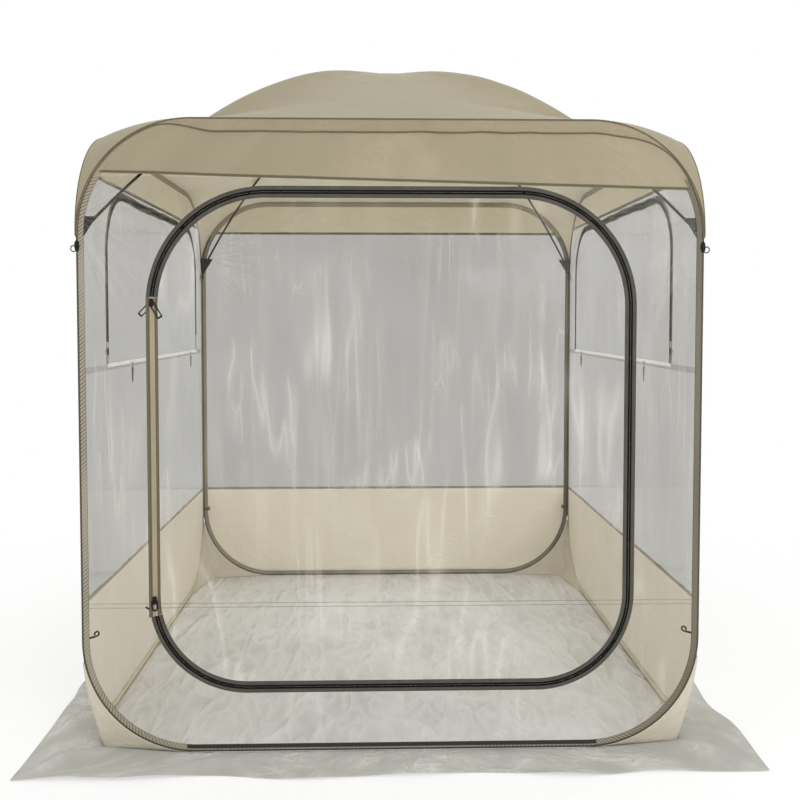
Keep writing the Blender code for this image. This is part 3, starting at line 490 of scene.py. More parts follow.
def hardMaterial(name, colour, roughness, grain, metallic=0.0, specular=0.2):
    # moulded plastic or bare metal, with a fine grain in its colour, roughness and bump
    material, tree, shader = newMaterial(name)
    place = coordinates(tree, "Object")
    speck = noiseAt(tree, place, grain, 4.0, Roughness=0.6)
    lighter = tuple(min(value * 1.5 + 0.006, 1) for value in colour[:3]) + (1.0,)
    tree.links.new(mixColour(tree, speck, colour, lighter), shader.inputs["Base Color"])
    rough = scaledAdd(tree, speck, 0.18, roughness - 0.09)
    tree.links.new(rough, shader.inputs["Roughness"])
    giveBump(tree, shader, 0.25, 0.0004, speck)
    shader.inputs["Metallic"].default_value = metallic
    shader.inputs["Specular IOR Level"].default_value = specular
    return material


blackPlastic = hardMaterial("blackPlastic", srgb(15, 15, 17), 0.45, 900.0)
rodFibre = hardMaterial("rodFibre", srgb(13, 13, 15), 0.46, 500.0)
springSteel = hardMaterial("springSteel", srgb(150, 150, 152), 0.35, 700.0, metallic=1.0)
greyPlastic = hardMaterial("greyPlastic", srgb(120, 120, 118), 0.45, 900.0)


def coilMaterial():
    # nylon zip coil: round turns along the tape's length
    material, tree, shader = newMaterial("zipCoil")
    parted = addNode(tree, "ShaderNodeSeparateXYZ", Vector=coordinates(tree, "UV"))
    turn = math1(tree, "SINE", times(tree, parted.outputs["X"], 2 * math.pi / 0.0014))
    level = scaledAdd(tree, turn, 0.5, 0.5)
    # darker in the gaps between the turns and lighter on their crowns: painted shade
    tree.links.new(mixColour(tree, level, srgb(3, 3, 4), srgb(14, 14, 15)), shader.inputs["Base Color"])
    giveBump(tree, shader, 0.8, 0.0005, level)
    shader.inputs["Roughness"].default_value = 0.62
    shader.inputs["Specular IOR Level"].default_value = 0.08
    return material


zipCoil = coilMaterial()


sleeveLook = {"pale": srgb(156, 148, 129), "shade": srgb(104, 98, 82), "edge": srgb(62, 58, 44),
              "dark": srgb(84, 80, 64), "roof": srgb(150, 140, 116), "cream": srgb(226, 216, 188),
              "creamEdge": srgb(150, 130, 98), "pitch": 0.0115, "slope": 1.3, "edgeWidth": 0.0078,
              "binding": srgb(34, 36, 31), "bindingWidth": 0.0115, "bindingHalf": 0.60}


def sleeveMaterial():
    # a tight cloth tube: slanting gathers between dark bound edges, and roof cloth where the roof covers it
    look = sleeveLook
    material, tree, shader = newMaterial("sleeveCloth")
    place = coordinates(tree, "UV")
    spot = addNode(tree, "ShaderNodeSeparateXYZ", Vector=coordinates(tree, "Object"))
    parted = addNode(tree, "ShaderNodeSeparateXYZ", Vector=place)
    weave = useGroup(tree, weaveGroup, Vector=place, Threads=1800.0)
    drift = noiseAt(tree, place, 9.0)
    inward = math1(tree, "SUBTRACT", tent["sleeveWidth"], math1(
        tree, "ABSOLUTE", math1(tree, "SUBTRACT", parted.outputs["Y"], tent["sleeveWidth"])))
    along = scaledAdd(tree, inward, look["slope"], parted.outputs["X"])
    along = scaledAdd(tree, drift, 0.012, along)
    gather = math1(tree, "SINE", times(tree, along, 2 * math.pi / look["pitch"]))
    gather = scaledAdd(tree, gather, 0.5, 0.5)
    patch = noiseAt(tree, coordinates(tree, "Object"), 3.1, 1.0)
    strength = addNode(tree, "ShaderNodeMapRange", Value=patch, From_Min=0.36, From_Max=0.58,
                       To_Min=0.25, To_Max=1.0)
    depth = times(tree, math1(tree, "POWER", gather, 1.6), strength.outputs[0])
    colour = mixColour(tree, depth, look["pale"], look["shade"])
    # darker towards the right-hand posts: painted shade
    rightShade = eased(tree, spot.outputs["X"], 0.55, 0.90)
    colour = mixColour(tree, times(tree, rightShade, 0.78), colour, look["dark"])
    # along the floor the side tubes are cream
    inside = eased(tree, math1(tree, "ABSOLUTE", spot.outputs["Y"]), 0.885, 0.850)
    creamy = times(tree, inside, eased(tree, spot.outputs["Z"], 0.34, 0.20))
    colour = mixColour(tree, times(tree, creamy, 0.85), colour, look["cream"])
    covered = eased(tree, spot.outputs["Z"], 1.655, 1.675)
    colour = mixColour(tree, covered, colour, look["roof"])
    outer = math1(tree, "LESS_THAN", inward, look["edgeWidth"])
    inner = math1(tree, "GREATER_THAN", inward, tent["sleeveWidth"] - 0.0022)
    edge = math1(tree, "MAXIMUM", outer, inner)
    edge = times(tree, edge, math1(tree, "SUBTRACT", 0.95, covered))
    edgeColour = mixColour(tree, creamy, look["edge"], look["creamEdge"])
    colour = mixColour(tree, edge, colour, edgeColour)
    # black binding on the door sill, along the front tube's inner edge
    sill = times(tree, math1(tree, "LESS_THAN", spot.outputs["Y"], -0.885),
                 math1(tree, "LESS_THAN", spot.outputs["Z"], 0.040))
    sill = times(tree, sill, math1(
        tree, "LESS_THAN", math1(tree, "ABSOLUTE", spot.outputs["X"]), look["bindingHalf"]))
    sill = times(tree, sill, math1(tree, "GREATER_THAN", inward,
                                               tent["sleeveWidth"] - look["bindingWidth"]))
    colour = mixColour(tree, sill, colour, look["binding"])
    tree.links.new(colour, shader.inputs["Base Color"])
    shader.inputs["Roughness"].default_value = 0.7
    height = scaledAdd(tree, weave.outputs["Height"], 0.04, times(tree, depth, -0.6))
    giveBump(tree, shader, 0.7, 0.0015, height)
    return material


sleeveCloth = sleeveMaterial()


hingeLook = {"pale": srgb(166, 156, 130), "paleShade": srgb(140, 130, 106), "thread": srgb(128, 120, 96),
             "bands": ((-0.7070, -0.6945, srgb(88, 82, 60)), (-0.6805, -0.6700, srgb(92, 76, 58))),
             "stitches": (-0.7022, -0.6762)}


def hingeMaterial():
    # folded binding: dark olive edges with a pale middle, with two stitch rows
    material, tree, shader = newMaterial("hingeBinding")
    place = coordinates(tree, "Object")
    parted = addNode(tree, "ShaderNodeSeparateXYZ", Vector=place)
    flat = addNode(tree, "ShaderNodeCombineXYZ", X=parted.outputs["Z"], Y=parted.outputs["X"])
    weave = useGroup(tree, weaveGroup, Vector=flat.outputs[0], Threads=1500.0)
    grime = noiseAt(tree, place, 14.0, 3.0)
    colour = mixColour(tree, grime, hingeLook["pale"], hingeLook["paleShade"])
    for low, high, tone in hingeLook["bands"]:
        above = math1(tree, "GREATER_THAN", parted.outputs["X"], low)
        below = math1(tree, "LESS_THAN", parted.outputs["X"], high)
        colour = mixColour(tree, times(tree, above, below), colour, tone)
    for across in hingeLook["stitches"]:
        stitch = useGroup(tree, stitchGroup, Vector=flat.outputs[0], Place=across)
        colour = mixColour(tree, stitch.outputs["Mask"], colour, hingeLook["thread"])
    tree.links.new(colour, shader.inputs["Base Color"])
    giveBump(tree, shader, 0.3, 0.0006, weave.outputs["Height"])
    shader.inputs["Roughness"].default_value = 0.75
    return material


hingeBinding = hingeMaterial()

# light and dark are lit and shaded tones of the same floor cloth, and ridge a paler tone for painted
# highlights
floorLook = {"light": srgb(238, 238, 234), "dark": srgb(190, 190, 187), "ridge": srgb(250, 250, 248),
             "wrinkles": ((34, 6.5, 2.4), (-38, 4.6, 1.9), (12, 10.0, 4.0))}


def floorMaterial():
    # thin coated cloth: long soft wrinkles in a few directions over fine crumple
    material, tree, shader = newMaterial("floorCloth")
    place = coordinates(tree, "Object")
    weave = useGroup(tree, weaveGroup, Vector=place, Threads=2000.0)
    height, pale = None, None
    for turn, across, along in floorLook["wrinkles"]:
        lying = addNode(tree, "ShaderNodeMapping", Vector=place, Scale=(across, along, 1.0),
                        Rotation=(0, 0, math.radians(turn)))
        rumple = noiseAt(tree, lying.outputs[0], Roughness=0.5, Distortion=0.6)
        ridge = ridged(tree, rumple, 2.2)
        pale = math1(tree, "MAXIMUM", ridge, pale) if pale else ridge
        height = scaledAdd(tree, ridge, 0.6, height) if height else ridge
    slow = noiseAt(tree, place, 2.4)
    # slow patches between the lit and the shaded tone: painted light and shade
    colour = mixColour(tree, slow, floorLook["dark"], floorLook["light"])
    # paler along the wrinkle ridges: painted highlight
    colour = mixColour(tree, times(tree, math1(tree, "POWER", pale, 3.0), 0.5), colour,
                       floorLook["ridge"])
    tree.links.new(colour, shader.inputs["Base Color"])
    height = scaledAdd(tree, weave.outputs["Height"], 0.02, height)
    giveBump(tree, shader, 0.7, 0.020, height)
    rough = scaledAdd(tree, slow, 0.2, 0.42)
    tree.links.new(rough, shader.inputs["Roughness"])
    return material


floorCloth = floorMaterial()
print("clear tent: materials made")


# making pieces

def finishPiece(name, shape, material, body, smooth=True, nodes=(), slot=None):
    mesh = bpy.data.meshes.new(name)
    shape.to_mesh(mesh)
    shape.free()
    piece = addObject(name, mesh)
    for item in material if isinstance(material, (list, tuple)) else [material]:
        mesh.materials.append(item)
    if smooth:
        mesh.shade_smooth()
    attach(piece, body)
    if nodes:
        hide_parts(*nodes)
    return piece


def mapped(columns, rows, place, size, weld=False, materialAt=None):
    # a grid whose points are put where place(s, t) says, with its own measure in metres as UV
    shape = bmesh.new()
    bmesh.ops.create_grid(shape, x_segments=columns, y_segments=rows, size=0.5)
    layer = shape.loops.layers.uv.new("UVMap")
    for face in shape.faces:
        centre = face.calc_center_median()
        if materialAt:
            face.material_index = materialAt(centre.x + 0.5, centre.y + 0.5)
        for loop in face.loops:
            s, t = loop.vert.co.x + 0.5, loop.vert.co.y + 0.5
            loop[layer].uv = (s * size[0], t * size[1])
    for vert in shape.verts:
        vert.co = place(vert.co.x + 0.5, vert.co.y + 0.5)
    if weld:
        bmesh.ops.remove_doubles(shape, verts=shape.verts, dist=0.00002)
        bmesh.ops.recalc_face_normals(shape, faces=shape.faces)
    return shape


def faceOut(shape, centre=(0, 0, 0.9)):
    # turns an open sheet so that it faces away from the tent's middle
    total = sum((face.calc_center_median() - Vector(centre)).dot(face.normal) for face in shape.faces)
    if total < 0:
        bmesh.ops.reverse_faces(shape, faces=shape.faces)
    return shape


def thicken(piece, thickness, offset=1.0, inner=None):
    wall = piece.modifiers.new("clothThickness", "SOLIDIFY")
    wall.thickness = thickness
    wall.offset = offset
    if inner:
        piece.data.materials.append(inner)
        wall.material_offset = 1


def areaOf(piece):
    return sum(face.area for face in piece.data.polygons)


def heightOf(piece):
    heights = [vertex.co.z for vertex in piece.data.vertices]
    return max(heights) - min(heights)


def declare(piece, width=None, length=0):
    # works out the flat area as the modelled sheet's own, and a length left out as the area over the width;
    # the values are not kept
    area = areaOf(piece)
    width = width or math.sqrt(area)
    length = max(length, area / width * 1.0005)


def wallPoint(wall, across, up, out):
    turn = math.radians(turns[wall])
    away = tent["plane"] + out
    return Vector((across * math.cos(turn) + away * math.sin(turn),
                   across * math.sin(turn) - away * math.cos(turn), up))


def wallHalf(wall):
    return tent["frontHalf"] if wall in ("front", "back") else tent["sideHalf"]


def roundedHalf(up, half, low, high, lowRadius, highRadius):
    # half the width of a rounded rectangle at a height
    if up < low + lowRadius:
        short = low + lowRadius - up
        return half - lowRadius + math.sqrt(max(lowRadius**2 - short**2, 0))
    if up > high - highRadius:
        short = up - high + highRadius
        return half - highRadius + math.sqrt(max(highRadius**2 - short**2, 0))
    return half


def loopPath(half, low, high, lowRadius, highRadius, middle=0):
    # the line round a rounded rectangle, anticlockwise from the middle of its foot: at(distance), length
    runs = []
    quarter = math.pi / 2

    def line(start, end, normal):
        runs.append((math.dist(start, end), "line", start, end, normal))

    def bend(centre, radius, start):
        runs.append((radius * quarter, "bend", centre, radius, start))

    line((0, low), (half - lowRadius, low), (0, -1))
    bend((half - lowRadius, low + lowRadius), lowRadius, -quarter)
    line((half, low + lowRadius), (half, high - highRadius), (1, 0))
    bend((half - highRadius, high - highRadius), highRadius, 0)
    line((half - highRadius, high), (highRadius - half, high), (0, 1))
    bend((highRadius - half, high - highRadius), highRadius, quarter)
    line((-half, high - highRadius), (-half, low + lowRadius), (-1, 0))
    bend((lowRadius - half, low + lowRadius), lowRadius, 2 * quarter)
    line((lowRadius - half, low), (0, low), (0, -1))
    length = sum(run[0] for run in runs)

    def at(distance):
        distance %= length
        for size, kind, first, second, third in runs:
            if distance <= size:
                break
            distance -= size
        if kind == "line":
            share = distance / size if size else 0
            return (middle + first[0] + share * (second[0] - first[0]),
                    first[1] + share * (second[1] - first[1]), third[0], third[1])
        angle = third + distance / second
        across, up = math.cos(angle), math.sin(angle)
        return (middle + first[0] + second * across, first[1] + second * up, across, up)

    return at, length


def hoopPath(wall, inset=0):
    half, radius = wallHalf(wall) - inset, tent["radius"] - inset
    return loopPath(half, tent["low"] + inset, tent["high"] - inset, radius, radius)


def wave(*where, scale=1.0, seed=0.0):
    point = Vector([value * scale for value in (list(where) + [0, 0, 0])[:3]])
    return noise.noise(point + Vector((seed, seed * 0.7, -seed * 0.3)))


# hoop sleeves
sleeveMake = {"columns": 420, "around": 14, "thick": 0.0021, "thin": 0.0011, "wrinkle": 0.00045,
              "pitch": 0.014}


def makeSleeves():
    make = sleeveMake
    for number, wall in enumerate(turns):
        at, length = hoopPath(wall)
        width = tent["sleeveWidth"]

        def place(s, t):
            across, up, awayAcross, awayUp = at(s * length)
            angle = 2 * math.pi * t
            inward = width / 2 * (1 - math.cos(angle))
            depth = make["thick"] + (make["thin"] - make["thick"]) * inward / width
            ripple = math.sin(2 * math.pi * (s * length + inward * 0.9) / make["pitch"])
            ripple *= make["wrinkle"] * (0.5 + wave(s * 20, number, seed=3.1))
            out = (depth + ripple) * math.sin(angle)
            return wallPoint(wall, across - awayAcross * inward, up - awayUp * inward, out)

        shape = mapped(make["columns"], make["around"], place, (length, 2 * width), weld=True)
        finishPiece(wall + "Sleeve", shape, sleeveCloth, "tent", nodes=[wall + "_hoop_sleeve"],
                    slot="sleeve_cloth")


makeSleeves()
print("clear tent: hoop sleeves made")


# clear film
filmMake = {"out": -0.0004, "wave": 0.0035, "tuck": 0.012, "edge": 0.05, "doorMiddle": 0.9,
            "windowMiddle": 1.39}


def filmDepth(across, up, seed):
    # how far the film sags in at a point: slow waves, with finer stretched waves on top
    slow = wave(across, up, scale=2.3, seed=seed) * filmMake["wave"]
    fine = wave(across * 1.6, up * 0.5, scale=9.0, seed=seed + 4) * filmMake["wave"] * 0.35
    return filmMake["out"] - abs(slow + fine)


def filmPoint(wall, across, up, seed, fade):
    # a point of a film, which lies flat along its outline, where fade is nought
    out = filmMake["out"]
    return wallPoint(wall, across, up, out + (filmDepth(across, up, seed) - out) * fade)


def wallMeasure(shape, wall):
    # metres across and up the wall as UV
    layer = shape.loops.layers.uv["UVMap"]
    turn = Matrix.Rotation(-math.radians(turns[wall]), 3, "Z")
    for face in shape.faces:
        for loop in face.loops:
            flat = turn @ loop.vert.co
            loop[layer].uv = (flat.x, flat.z)
    return shape


def makePlainFilm(name, wall, outline, low, high, body, nodes, seed, material):
    def place(s, t):
        up = low + (high - low) * t
        half, middle = outline(up)
        across = middle + half * (2 * s - 1)
        rim = min(s, 1 - s) * 2 * half
        fade = min(min(rim, up - low, high - up) / filmMake["edge"], 1)
        return filmPoint(wall, across, up, seed, fade)

    half = outline((low + high) / 2)[0]
    shape = wallMeasure(mapped(72, 72, place, (1, 1)), wall)
    piece = finishPiece(name, faceOut(shape), material, body, nodes=nodes, slot="clear_film")
    declare(piece, width=2 * half, length=heightOf(piece))


def makeRingFilm(name, wall, outer, inner, centre, nodes, seed, material, columns=260, rows=14):
    # film between an outer outline and an opening, both seen from the opening's middle

    def reach(loop, angle):
        across, up = math.cos(angle), math.sin(angle)
        near, far = 0.0, 3.0
        for step in range(40):
            mid = (near + far) / 2
            if loop(centre[0] + across * mid, centre[1] + up * mid):
                near = mid
            else:
                far = mid
        return near

    spans = {}

    def place(s, t):
        angle = 2 * math.pi * s
        key = round(s * columns)
        if key not in spans:
            spans[key] = (reach(inner, angle), reach(outer, angle))
        near, far = spans[key]
        distance = near + (far - near) * t
        across, up = centre[0] + math.cos(angle) * distance, centre[1] + math.sin(angle) * distance
        fade = min(min(t, 1 - t) * (far - near) / filmMake["edge"], 1)
        return filmPoint(wall, across, up, seed, fade)

    shape = mapped(columns, rows, place, (1, 1))
    bmesh.ops.remove_doubles(shape, verts=shape.verts, dist=0.00002)
    shape = wallMeasure(shape, wall)
    piece = finishPiece(name, faceOut(shape), material, "tent", nodes=nodes, slot="clear_film")
    declare(piece, width=2 * tent["sideHalf"], length=heightOf(piece))


def insideRounded(half, low, high, lowRadius, highRadius, middle=0):
    def test(across, up):
        reach = roundedHalf(up, half, low, high, lowRadius, highRadius)
        return low <= up <= high and abs(across - middle) <= reach
    return test


doorLine = {"half": 0.689, "low": 0.192, "high": 1.625, "lowRadius": 0.268, "highRadius": 0.328,
            "tape": 0.017, "setback": 0.006, "lowStart": 12, "highStart": 5, "fold": -0.706, "gap": 0.0006,
            "belowBend": 0.061, "aboveBend": 0.030}
windowLine = {"front": -0.620, "back": 0.750, "sill": 1.120, "high": 1.668, "radius": 0.200, "tape": 0.014,
              "tab": 0.070, "strip": 0.020, "sharp": 0.001, "under": 0.010, "gap": 0.0006}


def windowSpan(sign):
    # the middle of a window along its wall, and half its width
    front, back = windowLine["front"], windowLine["back"]
    return sign * (front + back) / 2, (back - front) / 2


def makeFilms():
    tuck, low = filmMake["tuck"], tent["low"]

    def panel(wall, bottom, top):
        half, radius = wallHalf(wall) - tuck, tent["radius"] - tuck
        lowest, highest = tent["low"] + tuck, tent["high"] - tuck

        def outline(up):
            return roundedHalf(up, half, lowest, highest, radius, radius), 0

        def inside(across, up):
            return bottom <= up <= top and abs(across) <= outline(up)[0]
        return inside, outline

    door = doorLine
    grow = door["setback"]
    opening = insideRounded(door["half"] + grow, door["low"] - grow, door["high"] + grow,
                            door["lowRadius"] + grow, door["highRadius"] + grow)
    edge = door["fold"] - door["gap"]

    def doorway(across, up):
        foot = door["low"] + door["lowRadius"] - door["belowBend"]
        head = door["high"] - door["highRadius"] + door["aboveBend"]
        return opening(across, up) or (edge <= across <= 0 and foot <= up <= head)

    inside, outline = panel("front", low + tuck, tent["hem"]["front"] + tuck)
    makeRingFilm("frontFilmPanel", "front", inside, doorway, (0, filmMake["doorMiddle"]), ["front_wall_film"],
                 1.7, frontFilm, columns=360)
    foot, head = tent["lowerBandTop"] - tuck, tent["hem"]["back"] + tuck
    inside, outline = panel("back", foot, head)
    makePlainFilm("backFilmPanel", "back", outline, foot, head, "tent", ["back_wall_film"], 5.2, wallFilm)

    inset = door["setback"]
    doorHalf = door["half"] - inset

    def doorOutline(up):
        return roundedHalf(up, doorHalf, door["low"] + inset, door["high"] - inset, door["lowRadius"] - inset,
                           door["highRadius"] - inset), 0

    makePlainFilm("doorFilmPanel", "front", doorOutline, door["low"] + inset, door["high"] - inset, "door",
                  ["door_film"], 8.3, doorFilm)
    window = windowLine
    for wall, side in (("right", 1), ("left", -1)):
        middle, half = windowSpan(side)
        inside, outline = panel(wall, tent["lowerBandTop"] - tuck, tent["hem"][wall] + tuck)
        hole = insideRounded(half + grow, window["sill"] - window["under"], window["high"] + grow,
                             window["sharp"], window["radius"] + grow, middle)
        makeRingFilm(wall + "FilmPanel", wall, inside, hole, (middle, filmMake["windowMiddle"]),
                     [wall + "_wall_film"], 11.0 + side, wallFilm)

        def flapOutline(up):
            return roundedHalf(up, half - inset, window["sill"], window["high"] - inset, window["sharp"],
                               window["radius"] - inset), middle

        makePlainFilm(wall + "WindowFlap", wall, flapOutline, window["sill"] + window["gap"],
                      window["high"] - inset, wall + "_window", [wall + "_window_film"], 15.0 + side,
                      windowFilm)


makeFilms()
print("clear tent: clear film made")


# cloth bands of the walls
bandMake = {"out": 0.0006, "thick": 0.0006, "wave": 0.0060, "hemWidth": 0.009, "hemThick": 0.0016,
            "frontSlope": 0.022, "rim": 0.06}


def bandOut(across, up, low, high, seed, hang):
    # soft upright folds that open towards the free hem
    share = (high - up) / (high - low) if hang else (up - low) / (high - low)
    broad = wave(across * 2.4, up * 0.7, scale=2.2, seed=seed)
    fine = wave(across * 7, up, scale=2.0, seed=seed)
    fold = broad + 0.5 * fine
    return bandMake["out"] + bandMake["wave"] * (0.25 + 0.75 * share) * max(fold, -0.05)


def rimShare(s, wide):
    return min(min(s, 1 - s) * 2 * wide / bandMake["rim"], 1)


def makeBands():
    tuck = filmMake["tuck"]
    for number, wall in enumerate(turns):
        half, radius = wallHalf(wall) - tuck, tent["radius"] - tuck
        lowest, highest = tent["low"] + tuck, tent["high"] - tuck
        runs = [("Upper", tent["hem"][wall], highest, True, "upperBandCloth", "roof_cloth", "bindingCloth")]
        if wall != "front":
            runs.append(("Lower", lowest, tent["lowerBandTop"], False, "lowerBandCloth", "band_cloth",
                         "paleBinding"))
        for kind, low, high, hang, look, slot, hemLook in runs:
            seed = number * 3.3 + (0 if hang else 20)

            def place(s, t):
                slope = bandMake["frontSlope"] * (1 - 2 * s) * (1 - t) if wall == "front" else 0
                up = low + (high - low) * t + slope
                wide = roundedHalf(up, half, lowest, highest, radius, radius)
                across = wide * (2 * s - 1)
                out = bandOut(across, up - slope, low, high, seed, hang) - bandMake["out"]
                return wallPoint(wall, across, up, bandMake["out"] + out * rimShare(s, wide))

            shape = faceOut(mapped(150, 18, place, (2 * half, high - low)))
            piece = finishPiece(wall + kind + "Band", shape, cloth[look], "tent",
                                nodes=[f"{wall}_{kind.lower()}_band"], slot=slot)
            declare(piece, width=2 * half, length=heightOf(piece))
            # the inner faces get the lighter cloth: painted light
            thicken(piece, bandMake["thick"], 0, inner=cloth["innerLitCloth"] if hang else None)
            edge = low if hang else high

            def hem(s, t):
                slope = bandMake["frontSlope"] * (1 - 2 * s) if wall == "front" else 0
                wide = roundedHalf(edge + slope, half, lowest, highest, radius, radius)
                across = wide * (2 * s - 1)
                out = bandOut(across, edge, low, high, seed, hang) - bandMake["out"]
                middle = bandMake["out"] + out * rimShare(s, wide)
                angle = 2 * math.pi * t
                width, deep = bandMake["hemWidth"] / 2, bandMake["hemThick"] / 2
                shift = width if hang else -width
                return wallPoint(wall, across, edge + slope + shift - width * math.cos(angle),
                                 middle + deep * math.sin(angle))

            shape = mapped(150, 10, hem, (2 * half, 2 * bandMake["hemWidth"]), weld=True)
            finishPiece(wall + kind + "Hem", shape, cloth[hemLook], "tent", slot=slot)


makeBands()
print("clear tent: wall bands made")


# zips
zipMake = {"tapeFoot": 0.00018, "tapeOut": 0.00095, "coilTop": 0.0022, "coil": 0.0036, "straight": 0.27,
           "slot": 0.0008, "teeth": 0.00015, "stripOut": 0.00055, "stripThick": 0.0004, "parting": 0.028,
           "gap": 0.0003, "frameGap": 0.0004}


def tapeProfile(width, side):
    # half a zip seen from its end: (distance from the middle, height), and where the coil lies
    slot, coil = zipMake["slot"], zipMake["slot"] + zipMake["coil"]
    low, face, top = zipMake["tapeFoot"], zipMake["tapeOut"], zipMake["coilTop"]
    teeth = zipMake["teeth"]
    points = [(width, low), (width, face * 0.8), (width - 0.0004, face), (width * 0.6, face),
              (coil + 0.0006, face), (coil, face + 0.0002), (coil - 0.0003, top - 0.0004),
              (coil - 0.0010, top), (teeth + 0.0010, top), (teeth + 0.0003, top - 0.0003), (teeth, face),
              (slot, low), (width * 0.5, low), (width, low)]
    return [(side * across, up) for across, up in points]


def stripOut(angle):
    return zipMake["stripOut"] + zipMake["stripThick"] * math.sin(angle)


def makeTape(name, wall, at, start, end, width, side, materials, body, node, columns, waver=0.0):
    profile = tapeProfile(width, side)
    count = len(profile) - 1

    def place(s, t):
        distance = start + (end - start) * s
        across, up, awayAcross, awayUp = at(distance)
        offset, out = profile[round(t * count)]
        calm = min(max(min(distance - start, end - distance) - zipMake["straight"], 0) / 0.10, 1)
        offset += waver * calm * wave(distance * 9, 0, seed=2.4)
        return wallPoint(wall, across + awayAcross * offset, up + awayUp * offset, out)

    def coilAt(s, t):
        return 1 if 5 <= t * count < 11 else 0

    shape = mapped(columns, count, place, (end - start, width * 2.4), weld=True, materialAt=coilAt)
    finishPiece(name, shape, materials, body, nodes=[node], slot="zip_cloth")


def makeZips():
    door = doorLine
    at, length = loopPath(door["half"], door["low"], door["high"], door["lowRadius"], door["highRadius"])
    quarter = math.pi / 2
    foot = door["half"] - door["lowRadius"]
    first = length - foot - door["lowRadius"] * (quarter - math.radians(door["lowStart"]))
    side = door["high"] - door["highRadius"] - door["low"] - door["lowRadius"]
    last = length + foot + door["lowRadius"] * quarter + side + door["highRadius"] * quarter
    last += 2 * (door["half"] - door["highRadius"])
    last += door["highRadius"] * (quarter - math.radians(door["highStart"]))
    look = [cloth["zipTapeCloth"], zipCoil]
    for kind, tapeSide, body, node in (("Outer", 1, "tent", "door_zip_frame_tape"),
                                       ("Inner", -1, "door", "door_zip_tape")):
        makeTape("doorTape" + kind, "front", at, first, last, door["tape"], tapeSide, look, body, node, 420)
    window = windowLine
    look = [cloth["windowTapeCloth"], zipCoil]
    for wall, sign in (("right", 1), ("left", -1)):
        middle, half = windowSpan(sign)
        at, length = loopPath(half, window["sill"], window["high"], window["sharp"], window["radius"], middle)
        low = half + window["tab"]
        for kind, tapeSide, body, node, gap in (
            ("Outer", 1, "tent", "_window_frame_tape", zipMake["frameGap"]),
            ("Inner", -1, wall + "_window", "_window_zip_tape", 0),
        ):
            makeTape(wall + "WindowTape" + kind, wall, at, low + gap, length - low - gap, window["tape"],
                     tapeSide, look, body, wall + node, 260, waver=0.007)


makeZips()


def makeZipTabs():
    # the sewn ends of each window's zip, with a slot where the slider rests
    window = windowLine
    for wall, sign in (("right", 1), ("left", -1)):
        for spot in ("front", "back"):
            leg = sign * window[spot]
            half, slot = window["tape"], zipMake["slot"]
            sill, look = window["sill"], "paleBinding"
            foot, parting, top = sill + zipMake["gap"], sill + zipMake["parting"], sill + window["tab"]
            if wall == "right":
                look = "tabCloth" if spot == "front" else "windowTapeCloth"
            for kind, low, high, left, right in (
                ("Foot", foot, parting, -half, half),
                ("Left", parting, top, -half, -slot),
                ("Right", parting, top, slot, half),
            ):
                def place(s, t):
                    angle = 2 * math.pi * t
                    swing = math.copysign(abs(math.cos(angle))**0.4, math.cos(angle))
                    across = (left + right) / 2 - (right - left) / 2 * swing
                    return wallPoint(wall, leg + across, low + (high - low) * s, stripOut(angle))

                shape = mapped(10, 12, place, (high - low, 2 * half), weld=True)
                finishPiece(f"{wall}Zip{kind}Tab{spot.capitalize()}", shape, cloth[look], wall + "_window",
                            slot="zip_cloth")


makeZipTabs()
print("clear tent: zips made")


# copies of frame pieces with softened edges

def softened(name, node, body, material, width, slot, smoothAngle=35, segments=2, fuller=0.0):
    # a merged copy of a frame piece with its edges rounded over
    shape = bmesh.new()
    shape.from_mesh(bpy.data.objects[node].data)
    bmesh.ops.remove_doubles(shape, verts=shape.verts, dist=0.000005)
    bmesh.ops.dissolve_limit(shape, angle_limit=math.radians(2), verts=shape.verts, edges=shape.edges)
    sharp = [edge for edge in shape.edges if len(edge.link_faces) == 2
             and edge.calc_face_angle(0) > math.radians(smoothAngle)]
    if width:
        bmesh.ops.bevel(shape, geom=sharp, offset=width, offset_type="OFFSET", segments=segments, profile=0.5,
                        affect="EDGES", material=-1, clamp_overlap=True)
    shape.normal_update()
    for vert in shape.verts:
        vert.co += vert.normal * fuller
    layer = shape.loops.layers.uv.verify()
    for face in shape.faces:
        normal = face.normal
        for loop in face.loops:
            x, y, z = loop.vert.co
            if abs(normal.z) > max(abs(normal.x), abs(normal.y)):
                loop[layer].uv = (x, y)
            else:
                loop[layer].uv = (x + y, z)
    return finishPiece(name, shape, material, body, nodes=[node], slot=slot)


hardwareMake = {"tip": 0.18, "hookFuller": 0.0011, "loopRadius": 0.0085, "loopTube": 0.0021, "loopUp": 1.462,
                "loopOut": 0.0045, "knot": (0.0085, 0.0085, 0.0170), "knotUp": 1.470, "knotIn": 0.0035}


